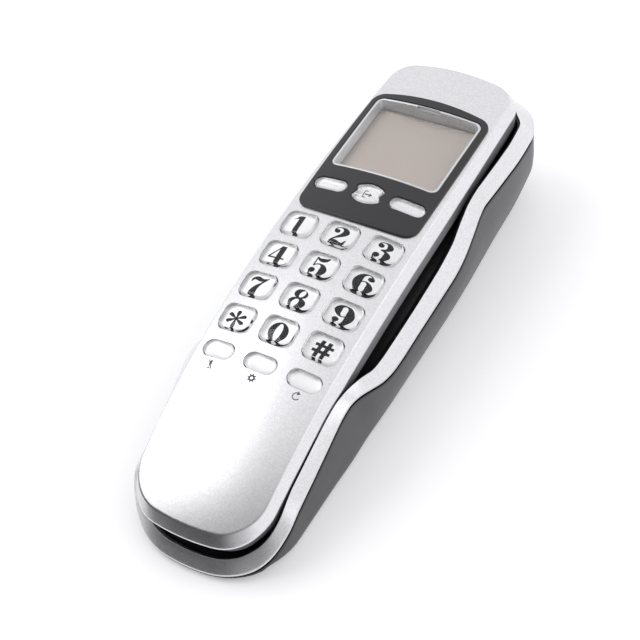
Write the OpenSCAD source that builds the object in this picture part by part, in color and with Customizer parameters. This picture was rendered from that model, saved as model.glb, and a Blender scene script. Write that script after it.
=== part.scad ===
// Slimline corded telephone: a handset with a lit keypad and a clock display,
// lying in a wedge-shaped cradle base that also hangs on two wall studs.
//
// Sloping frame: X right, Y towards the earpiece, Z out of the keypad, origin on
// the face in the middle of the twelve digit keys. The base holds this frame at
// the wedge angle, and the whole phone stands on Z = 0.

/* [Handset face] */
// Width of the flat face between its edge creases, at its widest
face_w = 52.6; // [50:0.2:58]
// Face length from the keypad centre to the earpiece end
face_top = 109.3; // [107:0.5:120]
// Face length from the keypad centre to the mouthpiece end
face_low = 91; // [90:0.5:100]
// Radius of the lengthwise arch of the face
arch_r = 480; // [400:10:800]
// Radius of the crosswise crown of the face
crown_r = 126; // [110:2:200]
// Lift of the earpiece end above the plain arch, at 100 mm
rise_top = 3.3; // [2:0.1:4]
// Drop of the mouthpiece end below the plain arch, at 100 mm
drop_low = 7.7; // [6:0.1:8.5]
// Height of the bevel between the face and the parting line
bevel_h = 4.3; // [3.5:0.1:5.5]
// Width of that bevel along the sides
bevel_w = 1.8; // [1.5:0.1:2.4]
// Wall of the moulded covers
wall = 2; // [1.6:0.1:2.4]

/* [Handset back] */
// Height of the side wall of the back cover
side_h = 5.5; // [4.5:0.1:6.5]
// Depth of the grip below the parting line
grip_depth = 10.5; // [10:0.5:12]
// Depth of the earpiece cup below the parting line
ear_depth = 14.5; // [13.5:0.5:16]
// Depth of the mouthpiece cup below the parting line
mouth_depth = 11.5; // [11:0.5:12.5]
// Distance of the earpiece from the keypad centre
ear_y = 76; // [74:0.5:78]
// Radius of the receiver capsule
receiver_r = 13.5; // [12:0.5:14.5]
// Thickness of the receiver capsule
receiver_h = 6; // [5:0.5:6.5]
// Distance of the microphone from the keypad centre
mic_y = 69; // [67:0.5:70]
// Radius of the microphone capsule
mic_r = 3; // [2.4:0.1:3.4]

/* [Keys] */
// Width of a digit key
key_w = 12.5; // [11.5:0.1:13.2]
// Length of a digit key
key_l = 10; // [9:0.1:10.8]
// Corner radius of a digit key
key_r = 3; // [2:0.1:3.6]
// Spacing of the digit keys across
pitch_x = 17; // [16.4:0.1:17.6]
// Spacing of the digit keys along
pitch_y = 14.2; // [13.8:0.1:14.6]
// Height of the keys above the face
key_proud = 1.6; // [1.2:0.1:2.2]
// Free travel of every key
key_travel = 1.2; // [0.8:0.1:1.3]
// Gap between a key and its hole
key_gap = 0.3; // [0.2:0.05:0.4]
// Width of the flange that keeps a key in
key_flange = 0.8; // [0.6:0.1:0.9]
// Width of a function key
pill_w = 11.8; // [11:0.1:12.4]
// Length of a function key
pill_l = 5.8; // [5:0.1:6.4]
// Distance of the function keys below the keypad centre
pill_y = 34.2; // [33.6:0.1:35]
// Distance of the display keys above the keypad centre
soft_y = 41.3; // [40.4:0.1:41.6]
// Spacing of the display keys
soft_x = 15.5; // [15.2:0.1:16.6]
// Width of an outer display key
soft_w = 13; // [12:0.1:13.6]
// Length of an outer display key
soft_l = 5; // [4.4:0.1:5.4]
// Width of the middle display key
middle_w = 10.8; // [10:0.1:11.4]
// Length of the middle display key
middle_l = 8.6; // [7:0.1:9]
// Depth of the notches in the sides of the middle display key
middle_notch = 1.2; // [0.4:0.1:1.6]

/* [Display] */
// Middle of the visible glass above the keypad centre
glass_y = 68.3; // [67:0.1:69]
// Width of the visible glass
glass_w = 39.6; // [37:0.2:41]
// Length of the visible glass
glass_l = 33; // [30:0.2:34]
// Depth of the glass below the face
glass_depth = 4.2; // [3:0.1:4.6]
// Width of the silver frame beside the glass
frame_side = 2; // [1.4:0.1:2.4]
// Width of the silver frame below the glass
frame_low = 1.6; // [1:0.1:2]
// Width of the silver frame above the glass
frame_top = 2.7; // [2:0.1:3.6]
// Width of the black bezel beside the frame
bezel_side = 2.5; // [1.8:0.1:2.8]
// Width of the black bezel above the frame
bezel_top = 3.8; // [2.5:0.1:5]
// Lower end of the bezel above the keypad centre
bezel_y0 = 28.2; // [27.8:0.1:30]
// Height of the bezel above the face
bezel_proud = 0.9; // [0.5:0.1:1.2]

/* [Base] */
// Slope of the cradle
wedge = 7.4; // [6.8:0.1:8]
// Height of the keypad centre above the table
key_height = 47.1; // [46.5:0.1:50]
// Gap between the handset and the rim, seen from above
cradle_gap = 1.7; // [1.4:0.1:2.2]
// Width of the sloping rim along the sides
rim_w = 3.2; // [2.8:0.1:3.6]
// Height of the rim's lower lip
rim_lip = 1; // [0.8:0.1:1.4]
// Inward slope of the case walls
draft = 12; // [10:0.5:13]
// Radius under the sides of the case
foot_round = 2; // [1.5:0.1:3]
// Radius under the earpiece end of the case
end_round = 12; // [8:0.5:14]
// Height of the case floor above the table
foot_stand = 0.8; // [0.6:0.1:1.2]
// Spacing of the wall studs
stud_pitch = 83; // [78:0.5:86]
// Travel of the hook plunger
hook_travel = 4; // [3:0.5:4.5]
// Lift that clears the handset from the cradle
lift = 60; // [40:5:80]

/* [Hidden] */
$fn = 48;

// ---- shape of the face --------------------------------------------------------------

// Height of the face at a place on the sloping frame
function face_z(x, y) =
    -y * y / (2 * arch_r) + (y > 0 ? rise_top : drop_low) * pow(y / 100, 3)
    - x * x / (2 * crown_r);

// Slope of the face along its length, in degrees
function face_pitch(y) =
    atan(-y / arch_r + 3 * (y > 0 ? rise_top : drop_low) * y * y / 1e6);

// Smooth step from 0 to 1
function ease(t) = let(c = max(0, min(1, t))) c * c * (3 - 2 * c);

// ---- outlines seen from above -------------------------------------------------------

// Corner centre of a circle of radius r inside both the side arc and the end arc
function corner_centre(side, side_r, tip, tip_r, r, s) =
    let(a = side_r - r, b = tip_r - r, d = norm(tip - side), u = (tip - side) / d)
    let(k = (a * a - b * b + d * d) / (2 * d), h = sqrt(a * a - k * k))
    side + k * u + s * h * [-u[1], u[0]];

// Points with outward normals on an arc, from angle a to angle b, without its last point
function arc_points(c, r, a, b, n) =
    [for (i = [0:n - 1]) let(t = a + (b - a) * i / n)
        [c[0] + r * cos(t), c[1] + r * sin(t), cos(t), sin(t)]];

// Angle of a direction, between -180 and 180
function heading(v) = atan2(v[1], v[0]);

// Right half of a barrel-shaped outline, from the middle of its low end to the middle of
// its high end. half: greatest half width, at y = waist; y0, y1: ends; bow: radii of the
// lower and upper side arcs; tip: radii of the end arcs; r: corner radii; n: steps on the
// low tip, low corner, low side, high side, high corner and high tip.
function half_outline(half, waist, y0, y1, bow, tip, r, n) =
    let(s0 = [half - bow[0], waist], s1 = [half - bow[1], waist])
    let(t0 = [0, y0 + tip[0]], t1 = [0, y1 - tip[1]])
    let(c0 = corner_centre(s0, bow[0], t0, tip[0], r[0], -1))
    let(c1 = corner_centre(s1, bow[1], t1, tip[1], r[1], 1))
    let(a0 = heading(c0 - t0), b0 = heading(c0 - s0), b1 = heading(c1 - s1), a1 = heading(c1 - t1))
    concat(arc_points(t0, tip[0], -90, a0, n[0]), arc_points(c0, r[0], a0, b0, n[1]),
           arc_points(s0, bow[0], b0, 0, n[2]), arc_points(s1, bow[1], 0, b1, n[3]),
           arc_points(c1, r[1], b1, a1, n[4]), arc_points(t1, tip[1], a1, 90, n[5]),
           [[0, y1, 0, 1]]);

// The whole outline: the right half going up, then its mirror image coming down
function whole(h) = concat(h, [for (i = [len(h) - 2:-1:1]) [-h[i][0], h[i][1], -h[i][2], h[i][3]]]);

// A rounded rectangle as such an outline
function pill_outline(w, l, r, steps = 4) =
    whole(half_outline(w / 2, 0, -l / 2, l / 2, [1e4, 1e4], [1e4, 1e4], [r, r],
                       [1, steps, 1, 1, steps, 1]));

// Outline moved inwards by a distance that may depend on y
function inset(o, d) = [for (p = o) [p[0] - d * p[2], p[1] - d * p[3], p[2], p[3]]];
function inset_by(o, d) = [for (p = o) let(e = d(p[1])) [p[0] - e * p[2], p[1] - e * p[3], p[2], p[3]]];

// Ring of 3-D points over an outline
function ring(o, z) = [for (p = o) [p[0], p[1], z(p[0], p[1])]];

// ---- lofts --------------------------------------------------------------------------

// Rows of points across a cap, between the right and left halves of a ring
function cap_points(r, n, cols, z) =
    [for (i = [1:n - 2], j = [1:cols - 1]) let(x = r[i][0] + (r[2 * n - 2 - i][0] - r[i][0]) * j / cols)
        [x, r[i][1], z(x, r[i][1])]];

// Number of a cap point: on the ring at either side, or inside
function cap_index(i, j, n, cols, first, inner) =
    i == 0 ? first : i == n - 1 ? first + n - 1
    : j == 0 ? first + i : j == cols ? first + 2 * n - 2 - i
    : inner + (i - 1) * (cols - 1) + j - 1;

// Triangles of a cap; s is 1 where it faces up
function cap_faces(n, cols, first, inner, s) =
    [for (i = [0:n - 2], j = [0:cols - 1])
        let(at = function(k, l) cap_index(k, l, n, cols, first, inner))
        let(a = at(i, j), b = at(i, j + 1), c = at(i + 1, j + 1), d = at(i + 1, j))
        each [if (a != b) s > 0 ? [a, b, c] : [a, c, b], if (c != d) s > 0 ? [a, c, d] : [a, d, c]]];

// Triangles between two neighbouring rings of m points
function band_faces(p, q, m) =
    [for (i = [0:m - 1]) let(k = (i + 1) % m)
        each [[p + i, q + k, p + k], [p + i, q + i, q + k]]];

// Closed solid through a list of rings, closed by a lower and an upper cap whose heights
// follow the functions z0 and z1, with cols columns across each cap
module loft(rings, z0, z1, cols = 2) {
    m = len(rings[0]);
    n = m / 2 + 1;
    inner = (n - 2) * (cols - 1);
    base = len(rings) * m;
    points = concat([for (r = rings) each r], cap_points(rings[0], n, cols, z0),
                    cap_points(rings[len(rings) - 1], n, cols, z1));
    faces = concat(cap_faces(n, cols, 0, base, -1),
                   [for (k = [0:len(rings) - 2]) each band_faces(k * m, (k + 1) * m, m)],
                   cap_faces(n, cols, base - m, base + inner, 1));
    polyhedron(points, faces, convexity = 6);
}

// Closed band through a list of rings whose last one meets the first
module loop_loft(rings) {
    m = len(rings[0]);
    polyhedron([for (r = rings) each r],
               [for (k = [0:len(rings) - 1]) each band_faces(k * m, ((k + 1) % len(rings)) * m, m)],
               convexity = 6);
}

// Exact rounded rectangle
module rounded(w, l, r) {
    square([w - 2 * r, l], center = true);
    square([w, l - 2 * r], center = true);
    for (x = [-1, 1], y = [-1, 1]) translate([x * (w / 2 - r), y * (l / 2 - r)]) circle(r);
}

// ---- handset dimensions -------------------------------------------------------------

// Display window inside the bezel, and the bezel round it
window_r = 3;
window_w = glass_w + 2 * frame_side;
window_l = glass_l + frame_low + frame_top;
window_y = glass_y + (frame_top - frame_low) / 2;
bezel_w = window_w + 2 * bezel_side;
bezel_y1 = window_y + window_l / 2 + bezel_top;

face_half = face_w / 2;
// Widest place of the handset above the keypad centre
waist = 30;
// Steps round half of the handset
HAND_STEPS = [3, 4, 11, 7, 4, 3];
crease = whole(half_outline(face_half, waist, -face_low, face_top, [3700, 1350], [77, 131],
                            [16, 8.5], HAND_STEPS));
// The bevel is wider round the mouthpiece end
function bevel_at(y) = bevel_w + 1.1 * ease((-80 - y) / 11) + 0.2 * ease((y - 80) / 25);
lip = inset_by(crease, function(y) -bevel_at(y));
// Height of the thin vertical lip under the bevel
lip_h = 0.8;
// Height of the parting line below a point of the crease
function parting_z(i) = face_z(crease[i][0], crease[i][1]) - bevel_h - lip_h;
function raised(o, dz) = [for (i = [0:len(o) - 1]) [o[i][0], o[i][1], parting_z(i) + dz]];
// Gap between the two handset covers
parting_gap = 0.15;
// The back cover sits a little inside the lip
back_step = 0.4;
// Parting line over the middle of the handset at a place along it
function parting_mid(y) = face_z(face_half - 1.5, y) - bevel_h - lip_h;
// Depth of the back below the parting line: two cups with the slimmer grip between them,
// and a level sole under the mouthpiece end
function back_depth(y) =
    grip_depth + (ear_depth - grip_depth) * ease((y - 44) / 20)
    + (mouth_depth - grip_depth) * ease((-44 - y) / 16) - 0.34 * max(0, -75 - y);
function back_z(x, y) = parting_mid(y) - back_depth(y) + 0.0016 * x * x;
// The side wall under the lip runs lower at the mouthpiece end
function side_at(y) = side_h + 1.7 * ease((-82 - y) / 8);

// Underside of the keys, top of the board and the places of the keys
stem_z = -7.6;
flange_t = 0.8;
mat_t = 0.8;
board_t = 1.4;
dome_gap = 0.1;
board_z = stem_z - key_travel - dome_gap - mat_t - 1.2;
digit_names = ["1", "2", "3", "4", "5", "6", "7", "8", "9", "star", "0", "hash"];
digit_places = [for (row = [0:3], col = [-1:1]) [col * pitch_x, (1.5 - row) * pitch_y]];
pill_places = [for (col = [-1:1]) [col * pitch_x, -pill_y]];
soft_places = [for (col = [-1:1]) [col * soft_x, soft_y]];

// Display frame: a plane parallel to the middle of the window
module at_window() {
    translate([0, window_y, face_z(0, window_y)]) rotate([face_pitch(window_y), 0, 0]) children();
}
function on_window(x, y) =
    (y - window_y) * tan(face_pitch(window_y)) + face_z(0, window_y);

// Handset screws: place on the slope, all driven from the back
hand_screws = [for (x = [-face_w / 4, face_w / 4]) each [[x, 0.878 * face_top], [x, -4 / 7 * face_low]]];
screw_r = 1.3;
function hand_seat(p) = back_z(p[0], p[1]) + 1 + screw_head_h;
screw_head_r = 2.6;
screw_head_h = 1.8;
post_r = 4.2;
// Depth of the screw tips in the front cover, above the parting line
screw_grip = 2.6;
// Ring that holds the receiver: height, wall and clearance
cup_h = 5;
cup_wall = 1.2;
cup_gap = 0.25;
// Rubber boot of the microphone
boot_h = 4.5;
boot_wall = 1.4;
// Sound holes of the earpiece
sound_pitch = 3.4;
sound_r = 0.8;

// Cord jack in the mouthpiece end, four contacts
jack_w = 10.4;
jack_h = 6.4;
jack_l = 13;
plug_w = 7.8;
plug_h = 5.2;
jack_z = parting_mid(-face_low) + 2.44 - 3.7;
jack_y = -face_low - 0.3;
jack_pitch = 5;

// ---- base dimensions ----------------------------------------------------------------

base_half = face_half + bevel_w + cradle_gap + rim_w;
base_low = face_low + 7;
base_top = face_top + 9.4;
BASE_STEPS = [3, 6, 24, 18, 7, 3];
rim_outline = whole(half_outline(base_half, waist, -base_low, base_top, [3000, 1350], [66, 140],
                                 [26, 17], BASE_STEPS));

// Height of the rim's inner edge and of its outer edge along the base: a long dip beside
// the keypad between two ramps, a hump beside the grip and a low shelf at the mouthpiece
rim_inner_line = [[-98, -27.4], [-88, -24.4], [-78, -19], [-67, -13.5], [-52, -9.6], [-42, -7.2],
                  [-35, -6.5], [-28, -8], [-19, -13.4], [-12, -16.4], [0, -17.6], [32, -18.5],
                  [43, -18.2], [50, -15.2], [57, -12.4], [64, -12], [81, -16.8], [92, -19.2], [118, -19.8]];
rim_outer_line = [[-98, -31.6], [-88, -31], [-78, -27.6], [-67, -22.4], [-52, -16], [-42, -13],
                  [-35, -10.8], [-28, -12.2], [-18, -20.8], [-8, -25.6], [20, -26.4], [40, -27.4],
                  [51, -24.6], [57, -19.8], [61, -18.4], [91, -26.4], [118, -27.4]];
// A rounded reading of such a line
function eased_lookup(y, line) = (lookup(y - 2, line) + 2 * lookup(y, line) + lookup(y + 2, line)) / 4;
function rim_in_z(y) = eased_lookup(y, rim_inner_line);
function rim_out_z(y) = eased_lookup(y, rim_outer_line);
// The rim is wider round both ends
function rim_width(y) = rim_w + 1.5 * ease((-80 - y) / 15) + 2.6 * ease((y - 100) / 10);

// The table plane seen from the sloping frame
function table_z(y) = -key_height / cos(wedge) - y * tan(wedge);
// Middle of the standing phone, to centre it on the origin
y_front = -base_low * cos(wedge) - rim_out_z(-base_low) * sin(wedge);
y_back = base_top * cos(wedge) - (rim_out_z(base_top) - rim_lip) * sin(wedge);
centre_y = (y_front + y_back) / 2;

module on_slope() {
    translate([0, -centre_y, key_height]) rotate([wedge, 0, 0]) children();
}
module on_table() {
    translate([0, -centre_y, 0]) children();
}
// Place on the table frame under a point of the sloping frame
function table_y(y, z) = y * cos(wedge) - z * sin(wedge);

// ---- handset covers -----------------------------------------------------------------

module handset_front_cover() {
    inner = inset(crease, wall);
    inner_z = function(x, y) face_z(x, y) - wall;
    color("silver") on_slope() difference() {
        union() {
            loft([ring(inner, inner_z), raised(inset(lip, wall), 0), raised(lip, 0),
                  raised(lip, lip_h), ring(crease, function(x, y) face_z(x, y))],
                 inner_z, function(x, y) face_z(x, y), 6);
            for (p = hand_screws) translate([p[0], p[1], parting_mid(p[1]) + 0.3])
                cylinder(h = face_z(p[0], p[1]) - wall / 2 - parting_mid(p[1]) - 0.3, r = post_r - 0.4);
        }
        for (p = digit_places) key_hole(p)
            rounded(key_w + 2 * key_gap, key_l + 2 * key_gap, key_r + key_gap);
        for (p = pill_places) key_hole(p)
            rounded(pill_w + 2 * key_gap, pill_l + 2 * key_gap, pill_l / 2);
        bezel_opening();
        for (p = hand_screws) translate([p[0], p[1], parting_mid(p[1]) - 1])
            cylinder(h = 1 + screw_grip + 0.3, r = screw_r - 0.1);
    }
}

// Straight hole through the front cover and the bezel
module through() {
    translate([0, 0, -grip_depth - side_h]) linear_extrude(1.5 * (grip_depth + side_h)) children();
}
module key_hole(p) {
    through() translate(p) children();
}

// Opening under the bezel: the window with the display, and the display keys
module bezel_opening() {
    through() translate([0, window_y]) rounded(window_w + 0.8, window_l + 0.8, window_r + 0.4);
    for (p = soft_places) key_hole(p) rounded(soft_hole_w(p) + 0.8, soft_hole_l(p) + 0.8, 2.4);
}
function soft_hole_w(p) = (p[0] == 0 ? middle_w : soft_w) + 2 * key_gap;

module handset_back_cover() {
    shell_lip = inset(lip, back_step);
    shoulder_in = function(y) back_step + 0.8 + 1.8 * ease((-72 - y) / 14);
    shoulder = inset_by(lip, shoulder_in);
    inner_shoulder = inset_by(lip, function(y) shoulder_in(y) + wall);
    flank = inset_by(lip, function(y) shoulder_in(y) + 3.2);
    side_ring = function(o, dz) [for (i = [0:len(o) - 1])
        [o[i][0], o[i][1], parting_z(i) - side_at(lip[i][1]) + dz]];
    sole = inset(lip, 9);
    sole_z = function(x, y) back_z(x, y);
    flank_z = [for (i = [0:len(lip) - 1]) let(p = flank[i])
        [p[0], p[1], 0.7 * back_z(p[0], p[1]) + 0.3 * (parting_z(i) - side_at(p[1]))]];
    inner_sole = inset(lip, 9 + wall / 2);
    inner_z = function(x, y) back_z(x, y) + wall;
    color("dimgray") on_slope() difference() {
        union() {
            loft([ring(sole, sole_z), flank_z, side_ring(shoulder, 0), raised(shell_lip, -parting_gap),
                  raised(inset(shell_lip, wall), -parting_gap), side_ring(inner_shoulder, 0.6),
                  ring(inner_sole, inner_z)],
                 sole_z, inner_z, 6);
            for (p = hand_screws) translate([p[0], p[1], back_z(p[0], p[1]) + 0.6])
                cylinder(h = parting_mid(p[1]) - back_z(p[0], p[1]) - 0.6, r = post_r);
            at_floor(ear_y) translate([0, 0, -wall / 2])
                cylinder(h = cup_h, r = receiver_r + cup_gap + cup_wall);
        }
        for (p = hand_screws) {
            translate([p[0], p[1], back_z(p[0], p[1]) - 2]) cylinder(h = 30, r = screw_r + 0.2);
            translate([p[0], p[1], back_z(p[0], p[1]) - 4])
                cylinder(h = 5 + screw_head_h, r = screw_head_r + 0.3);
        }
        at_floor(ear_y) translate([0, 0, -0.05]) cylinder(h = 8, r = receiver_r + cup_gap);
        at_floor(-mic_y) translate([0, 0, -0.05]) cylinder(h = 8, r = mic_r + boot_wall + 0.1);
        // sound holes of the earpiece and of the mouthpiece
        for (k = [0:2], a = [0:60:359]) if (k > 0 || a == 0)
            translate([k * sound_pitch * cos(a), ear_y + k * sound_pitch * sin(a), back_z(0, ear_y) - 4])
                cylinder(h = 8, r = sound_r, $fn = 16);
        for (x = [-mic_r, mic_r]) translate([x, -mic_y, back_z(0, -mic_y) - 4])
            cylinder(h = 8, r = 0.7, $fn = 16);
        hand_jack_opening();
    }
}

module jack_place() {
    translate([0, jack_y, jack_z]) rotate([jack_pitch, 0, 0]) children();
}
module hand_jack_opening() {
    jack_place() translate([0, jack_l / 2 - 2.5, 0])
        cube([jack_w + 0.4, jack_l + 5.4, jack_h + 0.4], center = true);
}

// ---- display ------------------------------------------------------------------------

function shifted(o, dy) = [for (p = o) [p[0], p[1] + dy, p[2], p[3]]];
bezel = whole(half_outline(bezel_w / 2, (bezel_y0 + bezel_y1) / 2, bezel_y0, bezel_y1,
                           [1200, 1200], [220, 135], [5.4, 5], [3, 5, 4, 4, 5, 3]));

// Film of adhesive under the bezel
bezel_seat = 0.12;
module display_bezel() {
    top_z = function(x, y) face_z(x, y) + bezel_proud;
    color([0.16, 0.16, 0.17]) on_slope() difference() {
        loft([ring(bezel, function(x, y) face_z(x, y) + bezel_seat),
              ring(bezel, function(x, y) face_z(x, y) + bezel_proud - 0.45),
              ring(inset(bezel, 0.5), top_z)],
             function(x, y) face_z(x, y) + bezel_seat, top_z, 6);
        through() translate([0, window_y]) rounded(window_w, window_l, window_r);
        for (p = soft_places) key_hole(p) offset(delta = key_gap)
            polygon([for (q = soft_outline(p)) [q[0], q[1]]]);
    }
}
function soft_hole_l(p) = (p[0] == 0 ? middle_l : soft_l) + 2 * key_gap;

// Depth of the frame below the window plane
frame_depth = glass_depth + 1;
clip_w = 9.4;
module display_frame() {
    rim = shifted(pill_outline(window_w - 0.3, window_l - 0.3, window_r - 0.15), window_y);
    top_z = function(x, y) face_z(x, y) + bezel_proud - 0.15;
    low_z = function(x, y) on_window(x, y) - frame_depth;
    color([0.82, 0.83, 0.85]) on_slope() difference() {
        loft([ring(rim, low_z), ring(rim, top_z)], low_z, top_z, 6);
        at_window() hull() {
            translate([0, 0, 1.2]) linear_extrude(0.1)
                rounded(window_w - 1.5, window_l - 1.5, window_r - 0.6, $fn = 24);
            translate([0, glass_y - window_y, -glass_depth - 0.1]) linear_extrude(0.1)
                rounded(glass_w, glass_l, 1.2, $fn = 24);
        }
        at_window() translate([0, glass_y - window_y, -glass_depth - 4]) linear_extrude(5)
            rounded(glass_w, glass_l, 1.2);
        // notch for the clip in the middle of the upper edge
        at_window() translate([-clip_w / 2, window_l / 2 - 2.1, -0.6])
            cube([clip_w, 1.5, bezel_proud + 2]);
    }
}

lens_t = 0.8;
lcd_t = 2.6;
module display_lens() {
    color([0.85, 0.87, 0.88, 0.5]) on_slope() at_window()
        translate([0, glass_y - window_y, -glass_depth - lens_t])
            linear_extrude(lens_t) rounded(glass_w - 0.2, glass_l - 0.2, 1.1);
}

module lcd_module() {
    color([0.62, 0.61, 0.55]) on_slope() at_window()
        translate([0, glass_y - window_y, -frame_depth - 0.05 - lcd_t]) linear_extrude(lcd_t)
            rounded(glass_w + 2.2, glass_l + 2.4, 1);
}

// ---- keys ---------------------------------------------------------------------------

// A clear key: straight walls down to a flange, and a bevelled top that follows the face.
// o is its outline around its own middle, p its place on the slope.
module key(o, p, proud, hole_w, hole_l, hole_r) {
    top_z = function(x, y) face_z(x + p[0], y + p[1]) + proud;
    color([0.86, 0.88, 0.9, 0.6]) on_slope() translate([p[0], p[1], 0]) {
        loft([ring(o, function(x, y) stem_z), ring(o, function(x, y) top_z(x, y) - 0.7),
              ring(inset(o, 0.7), top_z)], function(x, y) stem_z, top_z, 3);
        translate([0, 0, stem_z]) linear_extrude(flange_t)
            rounded(hole_w + 2 * key_flange, hole_l + 2 * key_flange, hole_r);
    }
}

module digit_key(i) {
    key(pill_outline(key_w, key_l, key_r, 3), digit_places[i], key_proud, key_w + 2 * key_gap,
        key_l + 2 * key_gap, key_r);
}

module pill_key(i) {
    key(pill_outline(pill_w, pill_l, pill_l / 2 - 0.1, 4), pill_places[i], key_proud - 0.3,
        pill_w + 2 * key_gap, pill_l + 2 * key_gap, pill_l / 2);
}

// Outline of a display key: a long pill, and in the middle a bowed one with notched sides
function notched(o, depth, reach) =
    [for (p = o) [p[0] - depth * sign(p[0]) * max(0, 1 - abs(p[1]) / reach), p[1], p[2], p[3]]];
function soft_outline(p) =
    p[0] != 0 ? pill_outline(soft_w, soft_l, soft_l / 2 - 0.1, 4)
    : notched(whole(half_outline(middle_w / 2, 0, -middle_l / 2, middle_l / 2, [60, 60], [9, 9],
                                 [0.9, 0.9], [4, 2, 3, 3, 2, 4])), middle_notch, 2);
module soft_key(i) {
    p = soft_places[i];
    key(soft_outline(p), p, bezel_proud + key_proud - 0.9, soft_hole_w(p), soft_hole_l(p), 2.4);
}

// Rubber sheet with a dome under each key
mat_w = face_w - 6.6;
mat_y0 = -pill_y - 5;
mat_y1 = soft_y + 5;
module keypad_mat() {
    color([0.55, 0.56, 0.58]) on_slope() {
        translate([-mat_w / 2, mat_y0, board_z + 0.05]) cube([mat_w, mat_y1 - mat_y0, mat_t]);
        for (p = concat(digit_places, pill_places, soft_places)) translate([p[0], p[1], board_z + 0.1]) {
            cylinder(h = stem_z - key_travel - dome_gap - board_z - 0.1, r = 1.8, $fn = 24);
            cylinder(h = mat_t + 0.5, r = 2.4, $fn = 24);
        }
    }
}

module handset_board() {
    color([0.16, 0.36, 0.22]) on_slope() {
        translate([-mat_w / 2 - 0.5, mat_y0 - 1, board_z - board_t])
            cube([mat_w + 1, mat_y1 - mat_y0 + 1.5, board_t]);
        // dial circuit and quartz
        translate([-6, 6, board_z - board_t - 1.6]) cube([12, 12, 1.7]);
        translate([-4, -22, board_z - board_t - 1.4]) cube([8, 6, 1.5]);
    }
}

// ---- handset inner parts ------------------------------------------------------------

// Place on the inner floor of the back cover, square to it
function back_pitch(y) = atan((back_z(0, y + 1) - back_z(0, y - 1)) / 2);
module at_floor(y) {
    translate([0, y, back_z(0, y)]) rotate([back_pitch(y), 0, 0]) translate([0, 0, wall]) children();
}
gasket_t = 1;
module receiver_gasket() {
    color([0.2, 0.2, 0.2]) on_slope() at_floor(ear_y) difference() {
        cylinder(h = gasket_t, r = receiver_r);
        translate([0, 0, -1]) cylinder(h = gasket_t + 2, r = receiver_r - 3.5);
    }
}
module receiver() {
    color([0.75, 0.75, 0.72]) on_slope() at_floor(ear_y) translate([0, 0, gasket_t + 0.05]) {
        cylinder(h = receiver_h * 0.45, r = receiver_r);
        cylinder(h = receiver_h, r = receiver_r - 4.5);
    }
}

module microphone_boot() {
    color([0.1, 0.1, 0.1]) on_slope() at_floor(-mic_y) difference() {
        cylinder(h = boot_h, r = mic_r + boot_wall);
        translate([0, 0, 1]) cylinder(h = boot_h, r = mic_r + 0.05);
    }
}
module microphone() {
    color([0.7, 0.7, 0.72]) on_slope() at_floor(-mic_y) translate([0, 0, 1.05])
        cylinder(h = boot_h - 1.4, r = mic_r);
}

// A modular jack lying along +Y from its open face: block, plug cavity and latch slot
module modular_jack(w, h, l, cavity_w, cavity_h) {
    difference() {
        translate([-w / 2, 0, -h / 2]) cube([w, l, h]);
        translate([-cavity_w / 2, -1, -cavity_h / 2]) cube([cavity_w, l - 1, cavity_h]);
        translate([-cavity_w / 4, -1, -h / 2 - 1]) cube([cavity_w / 2, l * 0.6, h / 2]);
    }
}
module handset_jack() {
    color([0.12, 0.12, 0.12]) on_slope() jack_place()
        modular_jack(jack_w, jack_h, jack_l, plug_w, plug_h);
}

// A pan-head screw pointing up from its seat
module screw(r, head_r, head_h, l) {
    cylinder(h = l, r = r, $fn = 24);
    difference() {
        translate([0, 0, -head_h]) cylinder(h = head_h, r = head_r, $fn = 32);
        for (a = [0, 90]) rotate(a) translate([-head_r * 0.6, -0.35, -head_h - 1])
            cube([head_r * 1.2, 0.7, 1.8]);
    }
}
module handset_screws() {
    color("gainsboro") on_slope() for (p = hand_screws) translate([p[0], p[1], hand_seat(p) - 0.05])
        screw(screw_r - 0.15, screw_head_r, screw_head_h - 0.1,
              parting_mid(p[1]) + screw_grip - hand_seat(p));
}

// ---- base shells --------------------------------------------------------------------

// Height of the lip of the handset along its side
function lip_z(y) = parting_mid(y);
// The rim's inner face reaches below the handset's lip
function rim_face_z(y) = min(rim_in_z(y) - 0.8, max(lip_z(y), -12) - 0.4);
function base_ring(d, z) =
    [for (p = rim_outline) let(e = d(p[1])) [p[0] - e * p[2], p[1] - e * p[3], z(p[1])]];

module base_rim() {
    color("silver") on_slope() loop_loft([
        base_ring(function(y) 0, function(y) rim_out_z(y) - rim_lip),
        base_ring(function(y) 0, function(y) rim_out_z(y)),
        base_ring(function(y) rim_width(y), function(y) rim_in_z(y)),
        base_ring(function(y) rim_width(y), function(y) rim_face_z(y)),
        base_ring(function(y) 1.6, function(y) rim_out_z(y) - rim_lip)]);
}

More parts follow.
